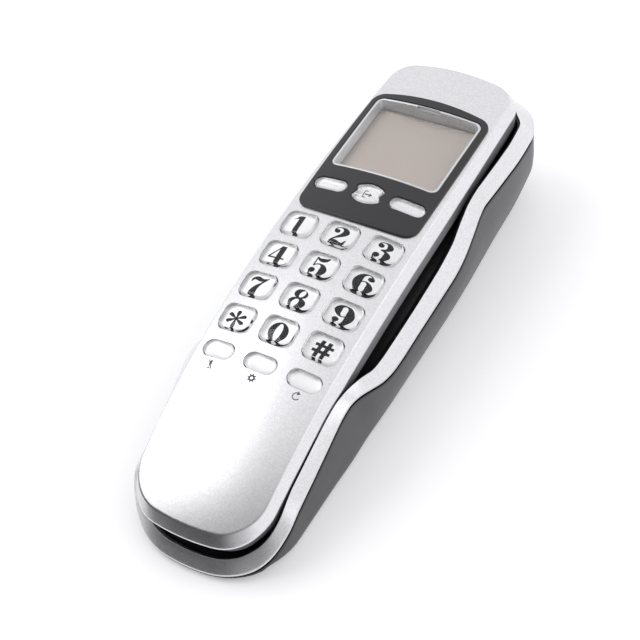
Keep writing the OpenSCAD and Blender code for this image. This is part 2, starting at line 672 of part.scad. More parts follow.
// Cradle: a black tray that follows the back of the handset
tray_wall = 0.9;
tray_gap = 0.25;
tray_clear = 1;
function tray_top_z(y) = rim_face_z(y) - 0.3;
function tray_floor_z(y) = back_z(0, y) - tray_clear - 0.6 * ease((-66 - y) / 10);
function tray_flank_z(y) =
    min(tray_top_z(y) - 0.3, max(parting_mid(y) - side_at(y) - 3 - ease((-66 - y) / 10), tray_floor_z(y)));
tray_sole = rim_w + cradle_gap + 8;
module cradle_tray() {
    floor_z = function(x, y) tray_floor_z(y) + 0.0016 * x * x;
    under_z = function(x, y) floor_z(x, y) - 1.6;
    outer = function(y) rim_width(y) + tray_gap;
    top_z = function(y) tray_top_z(y);
    color([0.09, 0.09, 0.1]) on_slope() difference() {
        loft([base_ring(function(y) tray_sole, function(y) under_z(14, y)),
              base_ring(function(y) outer(y) + 0.8, function(y) tray_flank_z(y) - 1.5),
              base_ring(outer, top_z),
              base_ring(function(y) outer(y) + tray_wall, top_z),
              base_ring(function(y) outer(y) + tray_wall + 0.6, function(y) tray_flank_z(y)),
              base_ring(function(y) tray_sole, function(y) floor_z(14, y))],
             under_z, floor_z, 4);
        translate([0, hook_y, -60]) linear_extrude(60) rounded(hook_w + 0.5, hook_l + 0.5, 2.2);
    }
    color([0.09, 0.09, 0.1]) for (p = base_screw_places) base_post(p);
}

hook_y = 20;
hook_w = 8;
hook_l = 6;
base_screw_places = [for (x = [-15, 15]) each [[x, 92], [x, -50]]];
base_screw_z = foot_stand + 2.2;
// Height above the table of a point on the slope
function above_table(y, z) = y * sin(wedge) + z * cos(wedge) + key_height;
// Screw post hanging from the tray down to the case
module base_post(p) {
    y = (p[1] + tray_floor_z(p[1]) * sin(wedge)) / cos(wedge);
    top = above_table(y, tray_floor_z(y)) - 0.9;
    on_table() translate([p[0], p[1], base_screw_z + 2]) difference() {
        cylinder(h = top - base_screw_z - 2, r = 3);
        translate([0, 0, -1]) cylinder(h = 8, r = screw_r - 0.1);
    }
}

// Lower case: drafted walls rising from a flat floor
function case_top_z(y) = rim_out_z(y) - rim_lip - 0.3;
function case_floor_z(y) = table_z(y) + foot_stand / cos(wedge);
function case_h(y) = case_top_z(y) - case_floor_z(y);
function case_round(y) = min(foot_round + (end_round - foot_round) * ease((y - 88) / 18), 0.4 * case_h(y));
function case_inset(y, h) = 0.5 + (case_h(y) - h) * tan(draft);
module base_case() {
    floor_z = function(x, y) case_floor_z(y);
    inner_floor_z = function(x, y) case_floor_z(y) + wall;
    top_z = function(y) case_top_z(y);
    color([0.3, 0.3, 0.31]) difference() {
        union() {
            on_slope() loft([
                base_flat(function(y) case_inset(y, 0) + case_round(y), floor_z),
                base_flat(function(y) case_inset(y, 0) + 0.3 * case_round(y),
                          function(x, y) case_floor_z(y) + 0.3 * case_round(y)),
                base_ring(function(y) case_inset(y, case_round(y)),
                          function(y) case_floor_z(y) + case_round(y)),
                base_ring(function(y) 0.5, top_z),
                base_ring(function(y) 0.5 + wall, top_z),
                base_flat(function(y) case_inset(y, wall) + wall + 0.5 * case_round(y), inner_floor_z)],
                floor_z, inner_floor_z, 2);
            for (p = base_screw_places) on_table() translate([p[0], p[1], foot_stand + 0.5])
                cylinder(h = 3.4, r = 4.6);
        }
        for (p = base_screw_places) on_table() translate([p[0], p[1], -1]) {
            cylinder(h = 12, r = screw_r + 0.2);
            cylinder(h = base_screw_z + 1, r = screw_head_r + 0.4);
        }
        for (y = keyhole_places) on_table() translate([0, y, -2]) {
            cylinder(h = 10, r = keyhole_r);
            translate([-keyhole_slot / 2, 0, 0]) cube([keyhole_slot, keyhole_l, 10]);
            translate([0, keyhole_l, 0]) cylinder(h = 10, r = keyhole_slot / 2);
        }
        for (p = foot_places) on_table() translate([p[0], p[1], -1])
            cylinder(h = 1 + foot_stand + 0.8, r = foot_r + 0.1);
        line_jack_place() cube([line_w + 0.6, 16, line_h + 0.6], center = true);
        cord_jack_place() cube([cord_w + 0.6, 16, cord_h + 0.6], center = true);
        slider_place() cube([slider_l + slider_travel + 0.8, 12, slider_h + 0.6], center = true);
    }
}
// Ring over the rim outline that is drawn in first and lifted to a plane afterwards
function base_flat(d, z) =
    [for (p = rim_outline) let(e = d(p[1]), x = p[0] - e * p[2], y = p[1] - e * p[3]) [x, y, z(x, y)]];

// Keyhole slots for the wall studs: radius of the eye, width and length of the slot
keyhole_r = 4.25;
keyhole_slot = 4.4;
keyhole_l = 8;
keyhole_places = [-28, -28 + stud_pitch];
// Rubber feet in their recesses
foot_r = 4.5;
foot_places = [for (x = [-17, 17]) each [[x, 76], [x, -66]]];

// ---- base inner parts ---------------------------------------------------------------

// Line jack in the earpiece end, six positions
line_w = 14;
line_h = 11;
line_l = 14;
line_z = 21;
module line_jack_place() {
    on_table() translate([0, table_y(base_top - 4.8, (line_z - key_height) / cos(wedge) - 14), line_z])
        rotate([0, 0, 180]) children();
}
module line_jack() {
    color([0.85, 0.84, 0.78]) line_jack_place() modular_jack(line_w, line_h, line_l, 9.8, 7);
}

// Handset cord jack in the left side, four positions
cord_w = 11.6;
cord_h = 9.4;
cord_z = 10.6;
cord_y = 0;
module cord_jack_place() {
    on_table() translate([-base_half + 3.6, cord_y, cord_z]) rotate([0, 0, -90]) children();
}
module cord_jack() {
    color([0.12, 0.12, 0.12]) cord_jack_place() modular_jack(cord_w, cord_h, 13, plug_w, 6.6);
}

// Ringer volume slider in the left side
slider_l = 5;
slider_h = 2.4;
slider_travel = 3.5;
slider_y = 45;
slider_z = 14;
module slider_place() {
    on_table() translate([-base_half + 3.9, slider_y, slider_z]) rotate([0, 0, -90]) children();
}
module ringer_slider() {
    color([0.12, 0.12, 0.12]) slider_place() {
        translate([-slider_travel / 2 - slider_l / 2, -2.4, -slider_h / 2]) cube([slider_l, 5.4, slider_h]);
        translate([-slider_travel / 2 - slider_l / 2 - 0.5, 2.6, -slider_h / 2 - 0.9])
            cube([slider_l + 1, 1.4, slider_h + 1.8]);
    }
}
module ringer_switch() {
    color([0.7, 0.7, 0.72]) slider_place() translate([-7, 4.3, -3.5]) cube([14, 4.5, 7]);
}

module hook_plunger() {
    top = hook_top;
    color([0.75, 0.75, 0.72]) on_slope() translate([0, hook_y, 0]) {
        translate([0, 0, top - 7]) linear_extrude(7) rounded(hook_w, hook_l, 2);
        translate([0, 0, top - 8]) linear_extrude(1.1) rounded(hook_w + 2.4, hook_l + 2.4, 2);
        translate([0, 0, top - 12.8]) cylinder(h = 5, r = 1.5);
    }
}
// Top of the plunger, just clear of the sloping back of the handset
hook_top = min(back_z(0, hook_y - hook_l / 2), back_z(0, hook_y + hook_l / 2)) - 0.1;
spring_top = hook_top - 8.15;
spring_l = 6.4;
spring_r = 2.5;
spring_wire = 0.6;
module hook_spring() {
    color("gainsboro") on_slope() translate([0, hook_y, spring_top - spring_l]) difference() {
        cylinder(h = spring_l, r = spring_r + spring_wire / 2);
        translate([0, 0, -1]) cylinder(h = spring_l + 2, r = spring_r - spring_wire / 2);
    }
}

// Circuit board on the table frame
base_board_z = 9;
base_board_t = 1.6;
board_y0 = -12;
board_y1 = 46;
board_x0 = -13;
board_x1 = 20;
hook_table_y = table_y(hook_y, spring_top - spring_l);
module base_board() {
    color([0.16, 0.36, 0.22]) on_table() {
        translate([board_x0, board_y0, base_board_z])
            cube([board_x1 - board_x0, board_y1 - board_y0, base_board_t]);
        // speech circuit and smoothing capacitor
        translate([8, -6, base_board_z + base_board_t - 0.1]) cube([8, 8, 3]);
        translate([12, 34, base_board_z + base_board_t - 0.1]) cylinder(h = 9, r = 3.2);
    }
}
module hook_switch() {
    h = above_table(hook_y, spring_top - spring_l) - base_board_z - base_board_t - 0.9;
    color([0.2, 0.2, 0.22]) on_table()
        translate([-6, hook_table_y - 4, base_board_z + base_board_t + 0.05]) cube([12, 8, h]);
}

ballast_y = -53;
ballast = [19, 26, 5];
module ballast_weight() {
    color([0.45, 0.45, 0.47]) on_table()
        translate([-ballast[0] / 2, ballast_y - ballast[1] / 2, foot_stand + wall + 0.5]) cube(ballast);
}

ringer_y = 80;
ringer_r = 9;
ringer_h = 3.4;
module ringer() {
    color("gold") on_table() translate([0, ringer_y, foot_stand + wall + 2.2])
        cylinder(h = ringer_h, r = ringer_r);
}
module ringer_holder() {
    color([0.15, 0.15, 0.15]) on_table() translate([0, ringer_y, foot_stand + wall + 0.1]) difference() {
        cylinder(h = 5, r = ringer_r + 1.5);
        translate([0, 0, 2]) cylinder(h = 5, r = ringer_r + 0.1);
        translate([0, 0, -1]) cylinder(h = 5, r = ringer_r - 2);
    }
}

module rubber_feet() {
    color([0.08, 0.08, 0.08]) for (p = foot_places) on_table() translate([p[0], p[1], 0])
        cylinder(h = foot_stand + 0.7, r = foot_r);
}
module base_screws() {
    color("gainsboro") for (p = base_screw_places) on_table()
        translate([p[0], p[1], base_screw_z - 0.05]) screw(screw_r - 0.25, screw_head_r, 1.6, 7);
}

handset_front_cover();
handset_back_cover();
display_bezel();
display_frame();
display_lens();
lcd_module();
keypad_mat();
handset_board();
receiver();
receiver_gasket();
microphone();
microphone_boot();
handset_jack();
handset_screws();
digit_key(0);  // key_1
digit_key(1);  // key_2
digit_key(2);  // key_3
digit_key(3);  // key_4
digit_key(4);  // key_5
digit_key(5);  // key_6
digit_key(6);  // key_7
digit_key(7);  // key_8
digit_key(8);  // key_9
digit_key(9);  // key_star
digit_key(10);  // key_0
digit_key(11);  // key_hash
pill_key(0);  // mute_key
pill_key(1);  // set_key
pill_key(2);  // redial_key
soft_key(0);  // left_display_key
soft_key(1);  // middle_display_key
soft_key(2);  // right_display_key
base_rim();
cradle_tray();
base_case();
hook_plunger();
hook_spring();
hook_switch();
base_board();
line_jack();
cord_jack();
ringer();
ringer_holder();
ringer_slider();
ringer_switch();
ballast_weight();
rubber_feet();
base_screws();
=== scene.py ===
"""Slimline corded telephone: finished surfaces, printed keys and materials over its solids.

Sizes inside the making functions are millimetres on the sloping frame of the phone: X right,
Y towards the earpiece, Z out of the keypad, origin on the face in the middle of the digit keys.
"""

import math

import bmesh
import bpy
from bpy.props import FloatProperty, FloatVectorProperty, PointerProperty
from mathutils import Matrix, Vector
from mathutils.geometry import delaunay_2d_cdt


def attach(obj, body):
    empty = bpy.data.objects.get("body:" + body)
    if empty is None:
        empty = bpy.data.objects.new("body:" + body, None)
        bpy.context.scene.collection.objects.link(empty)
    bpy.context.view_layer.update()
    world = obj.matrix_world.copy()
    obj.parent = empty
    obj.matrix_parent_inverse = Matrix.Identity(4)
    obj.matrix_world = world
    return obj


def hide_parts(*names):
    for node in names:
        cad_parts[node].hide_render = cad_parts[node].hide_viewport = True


bl_info = {
    "name": "Slimline phone",
    "version": (1, 0, 0),
    "blender": (4, 5, 0),
    "location": "3D View > Sidebar > Phone",
    "description": "Makes the surfaces and materials of a slimline corded telephone",
    "category": "Object",
}

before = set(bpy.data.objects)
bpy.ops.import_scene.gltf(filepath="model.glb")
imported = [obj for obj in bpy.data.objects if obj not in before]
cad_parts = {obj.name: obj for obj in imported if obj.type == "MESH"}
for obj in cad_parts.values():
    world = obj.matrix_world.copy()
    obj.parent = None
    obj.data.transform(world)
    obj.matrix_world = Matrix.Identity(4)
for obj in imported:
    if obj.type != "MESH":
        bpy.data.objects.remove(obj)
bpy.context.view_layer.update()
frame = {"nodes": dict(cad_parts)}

MM = 0.001
SLOPE = math.radians(7.4)
SMOOTH_BELOW = 35  # degrees between two faces that are shaded as one surface
CENTRE_Y = 14.125
KEY_HEIGHT = 47.1
DIGITS = ("1", "2", "3", "4", "5", "6", "7", "8", "9", "star", "0", "hash")
PILLS = ("mute_key", "set_key", "redial_key")
SOFTS = ("left_display_key", "middle_display_key", "right_display_key")
KEYS = (*("key_" + d for d in DIGITS), *PILLS, *SOFTS)

# places in millimetres: on the table's frame, but for the handset's jack and the hook
BASE_SCREWS = [(x, y) for x in (-15, 15) for y in (92, -50)]
FEET = [(x, y) for x in (-17, 17) for y in (76, -66)]
KEYHOLES = (-28, 55)
KEYHOLE_RUN = 8
LINE_JACK_Z = 21
CORD_JACK_Z = 10.6
RINGER_SLOT = (45, 14)
HANDSET_JACK = (0, -91.3, -23.229)
HANDSET_JACK_TILT = 5
HOOK_Y = 20


# ---- colours --------------------------------------------------------------------------


def srgb(code):
    """Linear colour of an sRGB hex code."""
    parts = [int(code[i : i + 2], 16) / 255 for i in (1, 3, 5)]
    return tuple(c / 12.92 if c <= 0.04045 else ((c + 0.055) / 1.055) ** 2.4 for c in parts)


def colour_property(name, code, description):
    return FloatVectorProperty(
        name=name, description=description, subtype="COLOR", size=3, min=0, max=1,
        default=srgb(code)
    )


def length(name, mm, description):
    return FloatProperty(name=name, description=description, unit="LENGTH", default=mm * MM, min=0)


class PhoneSizes(bpy.types.PropertyGroup):
    face_w: length("Face width", 52.6, "Width of the flat face at its widest")
    face_top: length("Face top", 109.3, "Keypad centre to the earpiece end of the face")
    face_low: length("Face low", 91, "Keypad centre to the mouthpiece end of the face")
    bevel_h: length("Bevel height", 4.3, "Height of the bevel round the face")
    bevel_w: length("Bevel width", 1.8, "Width of the bevel along the sides")
    wall: length("Wall", 2, "Wall of the moulded covers")
    key_w: length("Key width", 12.5, "Width of a digit key")
    key_l: length("Key length", 10, "Length of a digit key")
    key_r: length("Key corner", 3, "Corner radius of a digit key")
    key_proud: length("Key height", 1.6, "Height of the keys above the face")
    digit_h: length("Digit height", 7.3, "Height of the printed digits")
    glass_w: length("Glass width", 39.6, "Width of the visible display glass")
    glass_l: length("Glass length", 33, "Length of the visible display glass")
    cradle_gap: length("Cradle gap", 1.7, "Gap between the handset and the rim")
    rim_w: length("Rim width", 3.2, "Width of the sloping rim along the sides")
    rim_lip: length("Rim lip", 1, "Height of the lower lip of the rim")


class PhoneColours(bpy.types.PropertyGroup):
    silver: colour_property("Silver paint", "#e6e6e8", "Paint of the face and the rim")
    grey: colour_property("Grey plastic", "#3f3e41", "Moulded case of the base")
    # painted light: paler than the case's grey, though the back cover is the same plastic, so that
    # its sides in the shaded gap by the cradle look lit
    shell_painted_paler: colour_property("Back cover", "#7a787d", "Moulded back cover of the handset")
    tray: colour_property("Cradle", "#151517", "Moulded cradle")
    bezel: colour_property("Bezel", "#2a292b", "Satin bezel of the display")
    frame: colour_property("Frame", "#dcdddf", "Plated frame of the display")
    glass: colour_property("Display", "#bfb4ab", "Resting liquid crystal glass")
    key: colour_property("Key", "#fefeff", "Clear key moulding")
    backing: colour_property("Key backing", "#fafafb", "White layer behind the digits")
    ink: colour_property("Ink", "#040404", "Printed digits")
    label: colour_property("Label", "#4d4b50", "Printed signs on the face")
    floor: colour_property("Floor", "#f4f4f5", "Studio floor")
    room: colour_property("Room", "#f6f6f8", "Studio walls all round")


# ---- form of the phone ------------------------------------------------------------------


def ease(t):
    c = max(0.0, min(1.0, t))
    return c * c * (3 - 2 * c)


def lookup(x, line):
    """Straight reading between the points of a line."""
    if x <= line[0][0]:
        return line[0][1]
    for (x0, y0), (x1, y1) in zip(line, line[1:]):
        if x <= x1:
            return y0 + (y1 - y0) * (x - x0) / (x1 - x0)
    return line[-1][1]


def corner_centre(side, side_r, tip, tip_r, r, s):
    """Centre of a circle inside both the side arc and the end arc of an outline."""
    a, b = side_r - r, tip_r - r
    d = (tip - side).length
    u = (tip - side) / d
    k = (a * a - b * b + d * d) / (2 * d)
    h = math.sqrt(a * a - k * k)
    return side + k * u + s * h * Vector((-u.y, u.x))


def arc_points(c, r, a, b, n):
    """Points with outward normals on an arc, without its last point."""
    out = []
    for i in range(n):
        t = a + (b - a) * i / n
        out.append((c.x + r * math.cos(t), c.y + r * math.sin(t), math.cos(t), math.sin(t)))
    return out


def half_outline(half, waist, y0, y1, bow, tip, r, n):
    """Right half of a barrel-shaped outline, from its low end to its high end."""
    s0, s1 = Vector((half - bow[0], waist)), Vector((half - bow[1], waist))
    t0, t1 = Vector((0, y0 + tip[0])), Vector((0, y1 - tip[1]))
    c0 = corner_centre(s0, bow[0], t0, tip[0], r[0], -1)
    c1 = corner_centre(s1, bow[1], t1, tip[1], r[1], 1)
    a0, b0, b1, a1 = (math.atan2(v.y, v.x) for v in (c0 - t0, c0 - s0, c1 - s1, c1 - t1))
    quarter = math.pi / 2
    return (
        arc_points(t0, tip[0], -quarter, a0, n[0])
        + arc_points(c0, r[0], a0, b0, n[1])
        + arc_points(s0, bow[0], b0, 0, n[2])
        + arc_points(s1, bow[1], 0, b1, n[3])
        + arc_points(c1, r[1], b1, a1, n[4])
        + arc_points(t1, tip[1], a1, quarter, n[5])
        + [(0.0, y1, 0.0, 1.0)]
    )


def whole(h):
    """The right half going up, then its mirror image coming down."""
    return h + [(-x, y, -u, v) for x, y, u, v in h[-2:0:-1]]


def pill_outline(w, l, r, corner=8, side=6):
    return whole(
        half_outline(w / 2, 0, -l / 2, l / 2, (1e4, 1e4), (1e4, 1e4), (r, r),
                     (side, corner, side, side, corner, side))
    )


def inset(o, d):
    """Outline moved inwards by a distance, or by a function of y."""
    step = d if callable(d) else lambda y: d
    return [(x - step(y) * u, y - step(y) * v, u, v) for x, y, u, v in o]


def shifted(o, dx, dy):
    return [(x + dx, y + dy, u, v) for x, y, u, v in o]


class Form:
    """Lines and surfaces that the pieces share."""

    def __init__(self, sizes):
        for key in sizes.__annotations__:
            setattr(self, key, getattr(sizes, key) / MM)
        self.waist = 30
        self.lip_h = 0.8
        self.side_h = 7.2
        self.window_w = self.glass_w + 4
        self.window_l = self.glass_l + 4.3
        self.glass_y = 68.3
        self.window_y = self.glass_y + 0.55
        self.glass_depth = 4.2
        self.bezel_w = self.window_w + 5
        self.bezel_y0 = 28.2
        self.bezel_y1 = self.window_y + self.window_l / 2 + 3.8
        self.bezel_proud = 0.9
        self.window_pitch = math.atan(-self.window_y / 480 + 9.9 * self.window_y**2 / 1e6)
        self.hand_screws = [(s * self.face_w / 4, y) for s in (-1, 1)
                            for y in (0.878 * self.face_top, -4 / 7 * self.face_low)]
        self.digit_places = [(c * 17, (1.5 - r) * 14.2) for r in range(4) for c in (-1, 0, 1)]
        self.pill_places = [(c * 17, -34.2) for c in (-1, 0, 1)]
        self.soft_places = [(c * 15.5, 41.3) for c in (-1, 0, 1)]
        self.base_half = self.face_w / 2 + self.bevel_w + self.cradle_gap + self.rim_w
        self.base_low = self.face_low + 7
        self.base_top = self.face_top + 9.4
        line_z = (LINE_JACK_Z - KEY_HEIGHT) / math.cos(SLOPE) - 14
        self.line_jack_y = table_y(self.base_top - 4.8, line_z)

    # the face

    def face_z(self, x, y):
        lift = 3.3 if y > 0 else 7.7
        return -y * y / 960 + lift * (y / 100) ** 3 - x * x / 252

    def crease(self):
        steps = (9, 12, 33, 21, 12, 9)
        return whole(half_outline(self.face_w / 2, self.waist, -self.face_low, self.face_top,
                                  (3700, 1350), (77, 131), (16, 8.5), steps))

    def bevel_at(self, y):
        return self.bevel_w + 1.1 * ease((-80 - y) / 11) + 0.2 * ease((y - 80) / 25)

    def parting(self, x, y):
        """Height of the parting line below a point of the crease."""
        return self.face_z(x, y) - self.bevel_h - self.lip_h

    def parting_mid(self, y):
        return self.parting(self.face_w / 2 - 1.5, y)

    def back_z(self, x, y):
        depth = 10.5 + 4 * ease((y - 44) / 20) + ease((-44 - y) / 16) - 0.34 * max(0, -75 - y)
        return self.parting_mid(y) - depth + 0.0016 * x * x

    def on_window(self, y):
        return (y - self.window_y) * math.tan(self.window_pitch) + self.face_z(0, self.window_y)

    # the base

    def rim_outline(self, fine=2):
        steps = [fine * n for n in (3, 6, 24, 18, 7, 3)]
        wide = whole(half_outline(self.base_half, self.waist, -self.base_low, self.base_top,
                                  (3000, 1350), (66, 140), (26, 17), steps))
        return inset(wide, self.hug)

    INNER = ((-98, -28.1), (-93, -27.4), (-87, -24.8), (-78, -19), (-67, -13.4), (-52, -9.6),
             (-42, -7.2), (-35, -6.5), (-28, -8.2), (-21, -12.4), (-15, -16.7), (-9, -17.9),
             (0, -18.5), (14, -19.2), (32, -19.6), (43, -18.6), (50, -15.4), (57, -13.1),
             (64, -13.2), (73, -15.2), (81, -17), (92, -19.3), (118, -19.8))
    OUTER = ((-98, -31.6), (-91, -30.8), (-86, -28), (-79, -23), (-72, -19.4), (-66, -17.6),
             (-61, -16.2), (-50, -12.9), (-44, -11), (-38, -9.3), (-32, -9), (-27, -11.4),
             (-21, -16.6), (-15, -21), (-9, -23.2), (-3, -23.9), (8, -24.3), (20, -25.1),
             (35, -26.2), (41, -25.8), (46, -24.4), (52, -21.8), (57, -19.2), (62, -17.8),
             (67, -19.2), (89, -24.9), (95, -25.9), (105, -26.9), (118, -27.4))
    FOOT = ((-98, 0.6), (-80, 1.8), (-66, 2.4), (-50, 3), (-38, 3.1), (-27, 3.8), (-15, 4),
            (0, 4.5), (30, 5.1), (52, 5.8), (60, 6.2), (75, 7), (118, 7.4))

    def eased(self, y, line):
        return (lookup(y - 2, line) + 2 * lookup(y, line) + lookup(y + 2, line)) / 4

    def hug(self, y):
        """Where the base draws in and lies closer to the handset."""
        return ease((-20 - y) / 10) * (1 - ease((-66 - y) / 14))

    def rim_in_z(self, y):
        return self.eased(y, self.INNER) - 2 * self.hug(y)

    def rim_out_z(self, y):
        return self.eased(y, self.OUTER) - 2 * self.hug(y)

    def rim_width(self, y):
        return self.rim_w + 0.8 * ease((-80 - y) / 12) + 2.6 * ease((y - 100) / 10)

    def rim_face_z(self, y):
        return min(self.rim_in_z(y) - 0.8, max(self.parting_mid(y), -12) - 0.4)

    def tray_top_z(self, y):
        return self.rim_face_z(y) - 0.3

    def tray_floor_z(self, y):
        return self.back_z(0, y) - 1 - 0.6 * ease((-66 - y) / 10)

    def tray_flank_z(self, y):
        flank = self.parting_mid(y) - 9.2 - 1.7 * ease((-66 - y) / 10)
        return min(self.tray_top_z(y) - 0.3, max(flank, self.tray_floor_z(y)))

    def case_top_z(self, y):
        lip = self.rim_out_z(y) - self.rim_lip
        return lip - min(1.55, 0.4 * (lip - self.case_floor_z(y)))

    def case_floor_z(self, y):
        return -KEY_HEIGHT / math.cos(SLOPE) - y * math.tan(SLOPE) + 0.8 / math.cos(SLOPE)

    def case_h(self, y):
        return self.case_top_z(y) - self.case_floor_z(y)

    def ledge_z(self, y, down):
        return self.case_top_z(y) - down * min(1.0, self.case_h(y) / 3)

    def case_inside_z(self, y):
        return self.case_floor_z(y) + min(self.wall, 0.5 * self.case_h(y))

    def case_round(self, y):
        return min(2 + 10 * ease((y - 88) / 18), 0.4 * self.case_h(y))

    def case_inset(self, y, h):
        curve = max(0.0, 1 - h / self.case_h(y)) ** 2.2
        return 0.9 + max(0.0, self.eased(y, self.FOOT) - self.hug(y) - 0.9) * curve


def on_slope(p):
    """World place, in metres, of a point of the sloping frame."""
    c, s = math.cos(SLOPE), math.sin(SLOPE)
    x, y, z = p
    return Vector((x, y * c - z * s - CENTRE_Y, y * s + z * c + KEY_HEIGHT)) * MM


def on_table(p):
    """World place, in metres, of a point of the frame that stands on the table."""
    return Vector((p[0], p[1] - CENTRE_Y, p[2])) * MM


def table_y(y, z):
    """Y on the table's frame of a point of the sloping frame."""
    return y * math.cos(SLOPE) - z * math.sin(SLOPE)


ON_TABLE = Matrix.Translation(Vector((0, -CENTRE_Y, 0)) * MM)
ON_SLOPE = (Matrix.Translation(Vector((0, -CENTRE_Y, KEY_HEIGHT)) * MM)
            @ Matrix.Rotation(SLOPE, 4, "X"))


# ---- meshes -----------------------------------------------------------------------------


def rounded_section(corners, steps=4):
    """Corner points (x, y, z, radius) of a section with each corner rounded."""
    pts = [Vector(c[:3]) for c in corners]
    out = []
    for i, c in enumerate(corners):
        p, r = pts[i], c[3]
        if r <= 0 or i in (0, len(corners) - 1):
            out.append(p)
            continue
        a, b = pts[i - 1] - p, pts[i + 1] - p
        ta, tb = min(r, 0.45 * a.length), min(r, 0.45 * b.length)
        pa, pb = p + a.normalized() * ta, p + b.normalized() * tb
        out.append(p + a.normalized() * min(1.5 * ta, 0.48 * a.length))
        for k in range(steps + 1):
            t = k / steps
            out.append(pa * (1 - t) ** 2 + p * 2 * t * (1 - t) + pb * t * t)
        out.append(p + b.normalized() * min(1.5 * tb, 0.48 * b.length))
    return out


def add_loft(bm, sections, z0=None, z1=None, cols=2, loop=False):
    """Closed skin over sections round an outline; z0 and z1 give its two end caps."""
    m, k = len(sections), len(sections[0])
    grid = [[bm.verts.new(p) for p in s] for s in sections]
    faces = []
    for i in range(m):
        a, b = grid[i], grid[(i + 1) % m]
        for j in range(k if loop else k - 1):
            n = (j + 1) % k
            faces.append(bm.faces.new((a[j], b[j], b[n], a[n])))
    if loop:
        return faces
    half = m // 2 + 1
    for end, zf in ((0, z0), (k - 1, z1)):
        ring = [grid[i][end] for i in range(m)]
        rows = [[ring[0]]]
        for i in range(1, half - 1):
            right, left = ring[i], ring[m - i]
            row = [right]
            for j in range(1, cols):
                x = right.co.x + (left.co.x - right.co.x) * j / cols
                y = right.co.y + (left.co.y - right.co.y) * j / cols
                row.append(bm.verts.new((x, y, zf(x, y))))
            rows.append(row + [left])
        rows.append([ring[half - 1]])
        for lower, upper in zip(rows, rows[1:]):
            for j in range(cols):
                if len(lower) == 1:
                    face = (lower[0], upper[j], upper[j + 1])
                elif len(upper) == 1:
                    face = (lower[j], upper[0], lower[j + 1])
                else:
                    face = (lower[j], upper[j], upper[j + 1], lower[j + 1])
                faces.append(bm.faces.new(face))
    return faces


def add_prism(bm, outline, z0, z1):
    """Straight prism over an outline between two heights (numbers or functions)."""
    low = z0 if callable(z0) else lambda x, y: z0
    high = z1 if callable(z1) else lambda x, y: z1
    add_loft(bm, [[(x, y, low(x, y)), (x, y, high(x, y))] for x, y, _, _ in outline], low, high, 2)


def add_disc_stack(bm, rings, at=(0, 0, 0), n=48):
    """Round solid through rings (radius, z) above a point, closed by a face at both ends."""
    turns = [2 * math.pi * i / n for i in range(n)]
    at = Vector(at)
    loops = [[bm.verts.new(Vector((r * math.cos(a), r * math.sin(a), z)) + at) for a in turns]
             for r, z in rings]
    for a, b in zip(loops, loops[1:]):
        for i in range(n):
            bm.faces.new((a[i], a[(i + 1) % n], b[(i + 1) % n], b[i]))
    bm.faces.new(loops[0][::-1])
    bm.faces.new(loops[-1])


def add_box(bm, low, high, turn=None):
    m = turn or Matrix.Identity(4)
    made = bmesh.ops.create_cube(bm, size=1)["verts"]
    low, high = Vector(low), Vector(high)
    for v in made:
        v.co = m @ Vector([(low[i] + high[i]) / 2 + v.co[i] * (high[i] - low[i]) for i in range(3)])


def add_tube(bm, at, outer, inner, z0, z1, seat=(0, 0)):
    """Tube standing at a point; seat (radius, depth) widens its lower end for a screw head."""
    r, d = seat
    bore = [(r, z0), (r, z0 + d), (inner, z0 + d)] if d else [(inner, z0)]
    loop = bore + [(inner, z1), (outer, z1), (outer, z0)]
    turns = [2 * math.pi * i / 32 for i in range(32)]
    x, y = at
    sections = [[(x + q * math.cos(a), y + q * math.sin(a), z) for q, z in loop] for a in turns]
    add_loft(bm, sections, loop=True)


def drop(obj):
    mesh = obj.data
    bpy.data.objects.remove(obj)
    bpy.data.meshes.remove(mesh)


def merge(obj, *others):
    """Adds the meshes of other objects to a piece and removes those objects."""
    both = bmesh.new()
    for o in (obj, *others):
        both.from_mesh(o.data)
    both.to_mesh(obj.data)
    both.free()
    for o in others:
        drop(o)


def joined(obj, bm, place=on_slope):
    """Adds closed shells drawn in millimetres to a finished piece."""
    extra = mesh_object("extra", bm, place)
    merge(obj, extra)
    shade(obj, SMOOTH_BELOW)


def mesh_object(name, bm, place=on_slope, material=None, smooth=SMOOTH_BELOW):
    """Closed piece from a bmesh drawn in millimetres."""
    for v in bm.verts:
        v.co = place(v.co)
    bmesh.ops.recalc_face_normals(bm, faces=bm.faces)
    mesh = bpy.data.meshes.new(name)
    bm.to_mesh(mesh)
    bm.free()
    obj = bpy.data.objects.new(name, mesh)
    bpy.context.scene.collection.objects.link(obj)
    if material:
        mesh.materials.append(material)
    shade(obj, smooth)
    return obj


def shade(obj, angle):
    mesh = obj.data
    mesh.polygons.foreach_set("use_smooth", [True] * len(mesh.polygons))
    mesh.set_sharp_from_angle(angle=math.radians(angle))
    mesh.update()


def cut(obj, *tools, smooth=SMOOTH_BELOW):
    """Takes the tools out of the piece and removes them."""
    for tool in tools:
        mod = obj.modifiers.new("cut", "BOOLEAN")
        mod.operation = "DIFFERENCE"
        mod.solver = "EXACT"
        mod.object = tool
    realised(obj)
    bm = bmesh.new()
    bm.from_mesh(obj.data)
    bmesh.ops.remove_doubles(bm, verts=bm.verts, dist=0.001 * MM)
    bm.to_mesh(obj.data)
    bm.free()
    for tool in tools:
        drop(tool)
    shade(obj, smooth)


def raised(outline, z):
    """Points of an outline at a height: a number, a list of them, or a function of x and y."""
    if not isinstance(z, list):
        z = [z(x, y) if callable(z) else z for x, y, *_ in outline]
    return [(x, y, h) for (x, y, *_), h in zip(outline, z)]


def lofted(name, rings, radii, low, high, cols, material=None, steps=4, smooth=SMOOTH_BELOW,
           loop=False):
    """Closed piece over rings of points, whose section is rounded by a radius at each ring."""
    sections = [rounded_section([(*ring[i], r) for ring, r in zip(rings, radii)], steps)
                for i in range(len(rings[0]))]
    bm = bmesh.new()
    add_loft(bm, sections, low, high, cols, loop)
    return mesh_object(name, bm, material=material, smooth=smooth)


